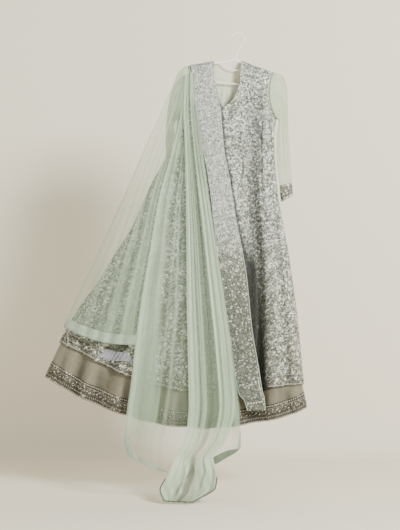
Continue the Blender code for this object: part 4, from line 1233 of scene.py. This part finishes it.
foldedFolds = table(
    "place width share start",
    (0.20, 0.050, 0.060, -200), (0.36, 0.045, 0.110, -240), (0.56, 0.045, 0.090, -260),
    (0.78, 0.050, 0.110, -220))

# Small creases of each sheet, as for the gown
wingCreases = table(
    "top foot width depth start end",
    (0.07, 0.06, 0.012, 2.2, -200, -1150), (0.20, 0.19, 0.014, 2.6, -230, -1060),
    (0.37, 0.34, 0.012, 2.4, -220, -1180), (0.42, 0.46, 0.016, -2.4, -420, -1240),
    (0.55, 0.52, 0.013, 2.8, -260, -1000), (0.70, 0.72, 0.014, 2.6, -210, -1230),
    (0.78, 0.76, 0.010, -2.2, -340, -900), (0.92, 0.92, 0.014, 2.8, -200, -1240),
    (0.25, 0.10, 0.020, 2.0, -880, -1180), (0.62, 0.58, 0.012, -2.2, -700, -1240))
fallCreases = table(
    "top foot width depth start end",
    (0.04, 0.05, 0.012, 2.4, -260, -1640), (0.15, 0.18, 0.014, 2.8, -230, -1300),
    (0.21, 0.32, 0.010, -2.2, -640, -860), (0.33, 0.36, 0.012, 2.6, -300, -1560),
    (0.49, 0.50, 0.014, -2.4, -420, -1640), (0.64, 0.66, 0.012, 2.2, -380, -1600),
    (0.73, 0.72, 0.011, -2.0, -300, -1500), (0.81, 0.83, 0.014, 2.6, -340, -1660),
    (0.94, 0.95, 0.012, 2.8, -260, -1640), (0.24, 0.14, 0.016, 2.2, -1180, -1680))
foldedCreases = table(
    "top foot width depth start end",
    (0.06, 0.05, 0.020, 3.0, -200, -1560), (0.14, 0.13, 0.014, -2.4, -420, -1500),
    (0.28, 0.26, 0.018, 3.4, -220, -1600), (0.44, 0.40, 0.018, 2.8, -260, -1640),
    (0.50, 0.52, 0.016, -2.8, -300, -1500), (0.66, 0.64, 0.018, 3.6, -240, -1660),
    (0.72, 0.86, 0.014, -2.6, -460, -1480), (0.90, 0.92, 0.018, 3.2, -220, -1640),
    (0.97, 0.95, 0.012, -2.4, -700, -1400), (0.20, 0.50, 0.030, 5.0, -1640, -1840),
    (0.55, 0.25, 0.028, -6.0, -1660, -1835), (0.80, 0.72, 0.030, 6.0, -1650, -1830),
    (0.38, 0.62, 0.024, 5.0, -1600, -1800), (0.90, 0.95, 0.020, -4.0, -1670, -1820))

# How many layers of net lie on each other: place at the top and the foot, half-width, layers added, heights
wingLayers = table(
    "top foot width layers start end",
    (0.03, 0.03, 0.030, 1.1, -150, -1240), (0.30, 0.26, 0.07, 0.45, -240, -1240),
    (0.62, 0.60, 0.10, 0.9, -200, -1240), (0.88, 0.86, 0.10, 1.5, -170, -1240),
    (0.45, 0.46, 0.03, 0.5, -500, -1240))
fallLayers = table(
    "top foot width layers start end",
    (0.10, 0.12, 0.13, 1.7, -160, -1500), (0.03, 0.03, 0.022, 1.6, -160, -1700),
    (0.72, 0.74, 0.16, 0.7, -160, -1400), (0.96, 0.96, 0.035, 1.8, -260, -1700),
    (0.42, 0.30, 0.018, 1.0, -1100, -1700), (0.36, 0.22, 0.014, 0.9, -900, -1700))
foldedLayers = table(
    "top foot width layers start end",
    (0.13, 0.13, 0.11, 3.0, -150, -1620), (0.34, 0.34, 0.055, 2.2, -150, -1620),
    (0.30, 0.33, 0.02, 1.5, -150, -1620), (0.72, 0.82, 0.15, 2.8, -150, -1640),
    (0.60, 0.70, 0.025, 2.0, -150, -1620), (0.97, 0.97, 0.03, 2.0, -150, -1640),
    (0.02, 0.02, 0.02, 1.6, -150, -1640))
drapeShape = {"sag": 78.0, "wingSag": 22.0, "reach": -100.0, "wave": 100.0, "waveFoot": -1000.0,
              "foot": 14 / 22, "recede": 0.4, "wall": 0.5, "tailFrom": 195, "rolledEdge": 2.6,
              "fall": (220, 120), "wing": (180, 110), "folded": (230, 90)}
# Painted shade, and density, that grow downwards: how strong, where it starts and over what height, in mm
drapeShade = {
    "valley": 0.07, "foldedValley": 0.10, "most": 0.9, "fallLow": (0.16, -1150, 250),
    "fallThins": (0.7, -1520, 90), "foldedLow": (0.14, -1100, 250), "tailThickens": (2.2, -1660, 50),
    "hollow": (0.7, -500, 200), "hollowThickens": 1.3, "tail": (1, -1690, 90), "tailEven": 0.18,
    "tailStreaks": 0.22, "overSleeve": 0.45, "besideBand": 0.35}
# Edge strips of satin ribbon, in rows and columns of the fall's grid, with their lift and wall in mm
drapeEdges = {"footRows": 7, "cornerRows": 26, "cornerColumns": 11, "sideFrom": 184, "sideColumns": 8,
              "underRows": 9, "underFrom": 8, "underTo": 46, "turnedRows": 18, "turnedFrom": 88,
              "lift": 0.9, "cornerLift": 1.2, "turnedLift": 1.8, "wall": 0.5}
edgeCloth = {"FootRight": "darkRibbon"}


def layersOf(source, share, height, base):
    total = np.full(np.broadcast(share, height).shape, float(base))
    for top, foot, width, layers, start, end in eachRow(source, "top foot width layers start end"):
        t = below(height, start, start - end)
        edge = np.abs((share - blend(top, foot, t)) / width)
        total = total + layers * np.exp(-edge ** 4)
    return total


def drapeGrid(size, left, right, source, small, sag=0.0, recede=0.0, outward=-1):
    # left and right: the edge's table, its side there, and the share of the table that it runs down
    rows, columns = size
    grid = []
    share = evenPlaces(0, 1, columns)
    for t in np.linspace(0, 1, rows):
        ends = [[float(rowOf(edge, side + axis, t * part)) for edge, side, part in (left, right)]
                for axis in "XZ"]
        forward = float(rowOf(right[0], "forward", t * right[2]))
        x = blend(*ends[0], share)
        z = blend(*ends[1], share) - sag * t ** 6 * np.sin(math.pi * share)
        ridgeDrop = shoulder(np.minimum(x, drapeShape["reach"])) - z
        depth = readAt(depths, "front", z) * ridge(ridgeDrop) + forward
        depth = depth * (1 - recede * min(1.0, max(0.0, 2.5 * t - 0.6)) * (1 - share ** 0.35))
        edge = np.sin(math.pi * share) ** 0.3
        wave = drapeShape["wave"] * foldSum(source, share, z, drapeShape["waveFoot"]) * edge
        grid.append(np.stack([x, -(depth + outward * wave + creases(small, share, z)), z], axis=1))
    return np.array(grid), share


def makeDrape(name, node, grid, density, shade, edges):
    n = gridNormals(grid)
    grid = grid - n * drapeShape["wall"]
    net = makeCloth(name, grid, ["drape"], 0.0, layers=density, paintedShade=np.clip(shade, 0, drapeShade["most"]))
    finishPiece(net, node)
    for label, strip in edges(grid, n).items():
        ribbon = makeCloth(name + label, strip, [edgeCloth.get(label, "ribbon")], drapeEdges["wall"])
        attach(ribbon, "root")
    return grid


def narrowed(cloth, edge, taper):
    # A strip that keeps one edge and narrows towards it
    return edge + (cloth - edge) * taper


def wingEdges(grid, n):
    rows = drapeEdges["footRows"]
    return {"Foot": grid[-rows:] + n[-rows:] * drapeEdges["lift"]}


def fallEdges(grid, n):
    # Each strip narrows at its free end. The corner is crinkled, and the foot's turned right half is a darker
    # sage ribbon
    look = drapeEdges
    high, wide = look["cornerRows"], look["cornerColumns"]
    ripple = np.arange(wide)[None] * 1.1 + np.arange(high)[:, None] * 0.8
    lift = 3.4 * np.abs(np.sin(ripple)) + 2.2 * np.sin(ripple * 2.7)
    corner = grid[-high:, :wide] + n[-high:, :wide] * (look["cornerLift"] + lift[:, :, None])
    taper = 0.45 + 0.55 * np.sin(np.linspace(0, 3.0, high))[:, None, None] ** 2
    corner = narrowed(corner, corner[:, :1], taper)
    low, wide = look["sideFrom"], look["sideColumns"]
    taper = np.minimum(1, 0.15 + 1.2 * np.linspace(0, 1, len(grid) - low)[:, None, None])
    left = grid[low:, :wide] + n[low:, :wide] * look["lift"]
    left = narrowed(left, left[:, :1], taper)
    right = grid[low:, -wide:] + n[low:, -wide:] * look["lift"]
    right = narrowed(right, right[:, -1:], taper)
    high, start, end = look["underRows"], look["underFrom"], look["underTo"]
    foot = grid[-high:, start:end] + n[-high:, start:end] * look["lift"]
    foot = narrowed(foot, foot[-1:], np.linspace(1, 0.2, end - start)[None, :, None])
    high, start = look["turnedRows"], look["turnedFrom"]
    turned = grid[-high:, start:] + n[-high:, start:] * look["turnedLift"]
    wave = np.sin(np.linspace(0.4, 2.9, turned.shape[1]))
    turned = narrowed(turned, turned[-1:], (0.55 + 0.45 * wave)[None, :, None])
    return {"Corner": corner, "LeftEdge": left, "Foot": foot, "RightEdge": right, "FootRight": turned}


def noEdges(grid, n):
    return {}


def grows(height, strength, start, span):
    return strength * below(height, start, span)


def stripe(share, middle, half):
    # 1 on a stripe of the cloth, with soft edges
    return np.exp(-((share[None] - middle) / half) ** 4)


def valleys(source, share, height):
    return np.maximum(-creases(source, share, height), 0)


def buildDrape():
    fallGrid, fallShare = drapeGrid(drapeShape["fall"], (fall, "left", 1), (fall, "right", 1), fallFolds,
                                    fallCreases, sag=drapeShape["sag"])
    wingGrid, wingShare = drapeGrid(drapeShape["wing"], (wing, "left", 1), (fall, "left", drapeShape["foot"]),
                                    wingFolds, wingCreases, sag=drapeShape["wingSag"],
                                    recede=drapeShape["recede"])
    foldedGrid, foldedShare = drapeGrid(drapeShape["folded"], (folded, "left", 1), (folded, "right", 1),
                                        foldedFolds, foldedCreases, outward=1)
    fallHeight, wingHeight, foldedHeight = fallGrid[:, :, 2], wingGrid[:, :, 2], foldedGrid[:, :, 2]

    # Painted shade: darker in the valleys, in the hollow between the folded pleats, over the left sleeve,
    # beside the band and in streaks down the tail
    look = drapeShade
    fallShade = look["valley"] * valleys(fallCreases, fallShare, fallHeight)
    fallShade = fallShade + grows(fallHeight, *look["fallLow"])
    wingShade = look["valley"] * valleys(wingCreases, wingShare, wingHeight)
    overSleeve = between(wingHeight, -270, 60, -540, 60) * stripe(wingShare, 0.86, 0.16)
    wingShade = wingShade + look["overSleeve"] * overSleeve
    pleats = stripe(foldedShare, 0.47, 0.06)
    foldedShade = look["foldedValley"] * valleys(foldedCreases, foldedShare, foldedHeight)
    foldedShade = foldedShade + pleats * grows(foldedHeight, *look["hollow"])
    foldedShade = foldedShade + grows(foldedHeight, *look["foldedLow"]) * (foldedShare[None] > 0.45)
    streaks = np.sin(foldedShare[None] * 19 + foldedHeight / 21) ** 2
    tail = look["tailEven"] + look["tailStreaks"] * streaks
    foldedShade = foldedShade + grows(foldedHeight, *look["tail"]) * tail
    besideBand = between(foldedHeight, -250, 70, -640, 100) * stripe(foldedShare, 0.74, 0.26)
    foldedShade = foldedShade + look["besideBand"] * besideBand

    # Fewer layers at the fall's foot, more in the tail and in the hollow
    fallDensity = layersOf(fallLayers, fallShare[None], fallHeight, 0.75)
    fallDensity = fallDensity * (1 - grows(fallHeight, *look["fallThins"]))
    wingDensity = layersOf(wingLayers, wingShare[None], wingHeight, 0.75)
    foldedDensity = layersOf(foldedLayers, foldedShare[None], foldedHeight, 0.5)
    foldedDensity = foldedDensity + grows(foldedHeight, *look["tailThickens"])
    inHollow = pleats * below(foldedHeight, *look["hollow"][1:])
    foldedDensity = foldedDensity + look["hollowThickens"] * inHollow

    makeDrape("drapeFall", "drape_fall", fallGrid, fallDensity, fallShade, fallEdges)
    makeDrape("drapeWing", "drape_wing", wingGrid, wingDensity, wingShade, wingEdges)
    lying = makeDrape("drapeFolded", "drape_folded", foldedGrid, foldedDensity, foldedShade,
                      noEdges)
    # The tail's rolled edge shows as a dark line
    tail = lying[drapeShape["tailFrom"]:]
    line = np.concatenate([tail[:, 0], tail[-1, 1:], tail[::-1, -1][1:]])
    rolled = makeTube("tailRolledEdge", line, drapeShape["rolledEdge"], "rolled")


buildDrape()
print("drape made")
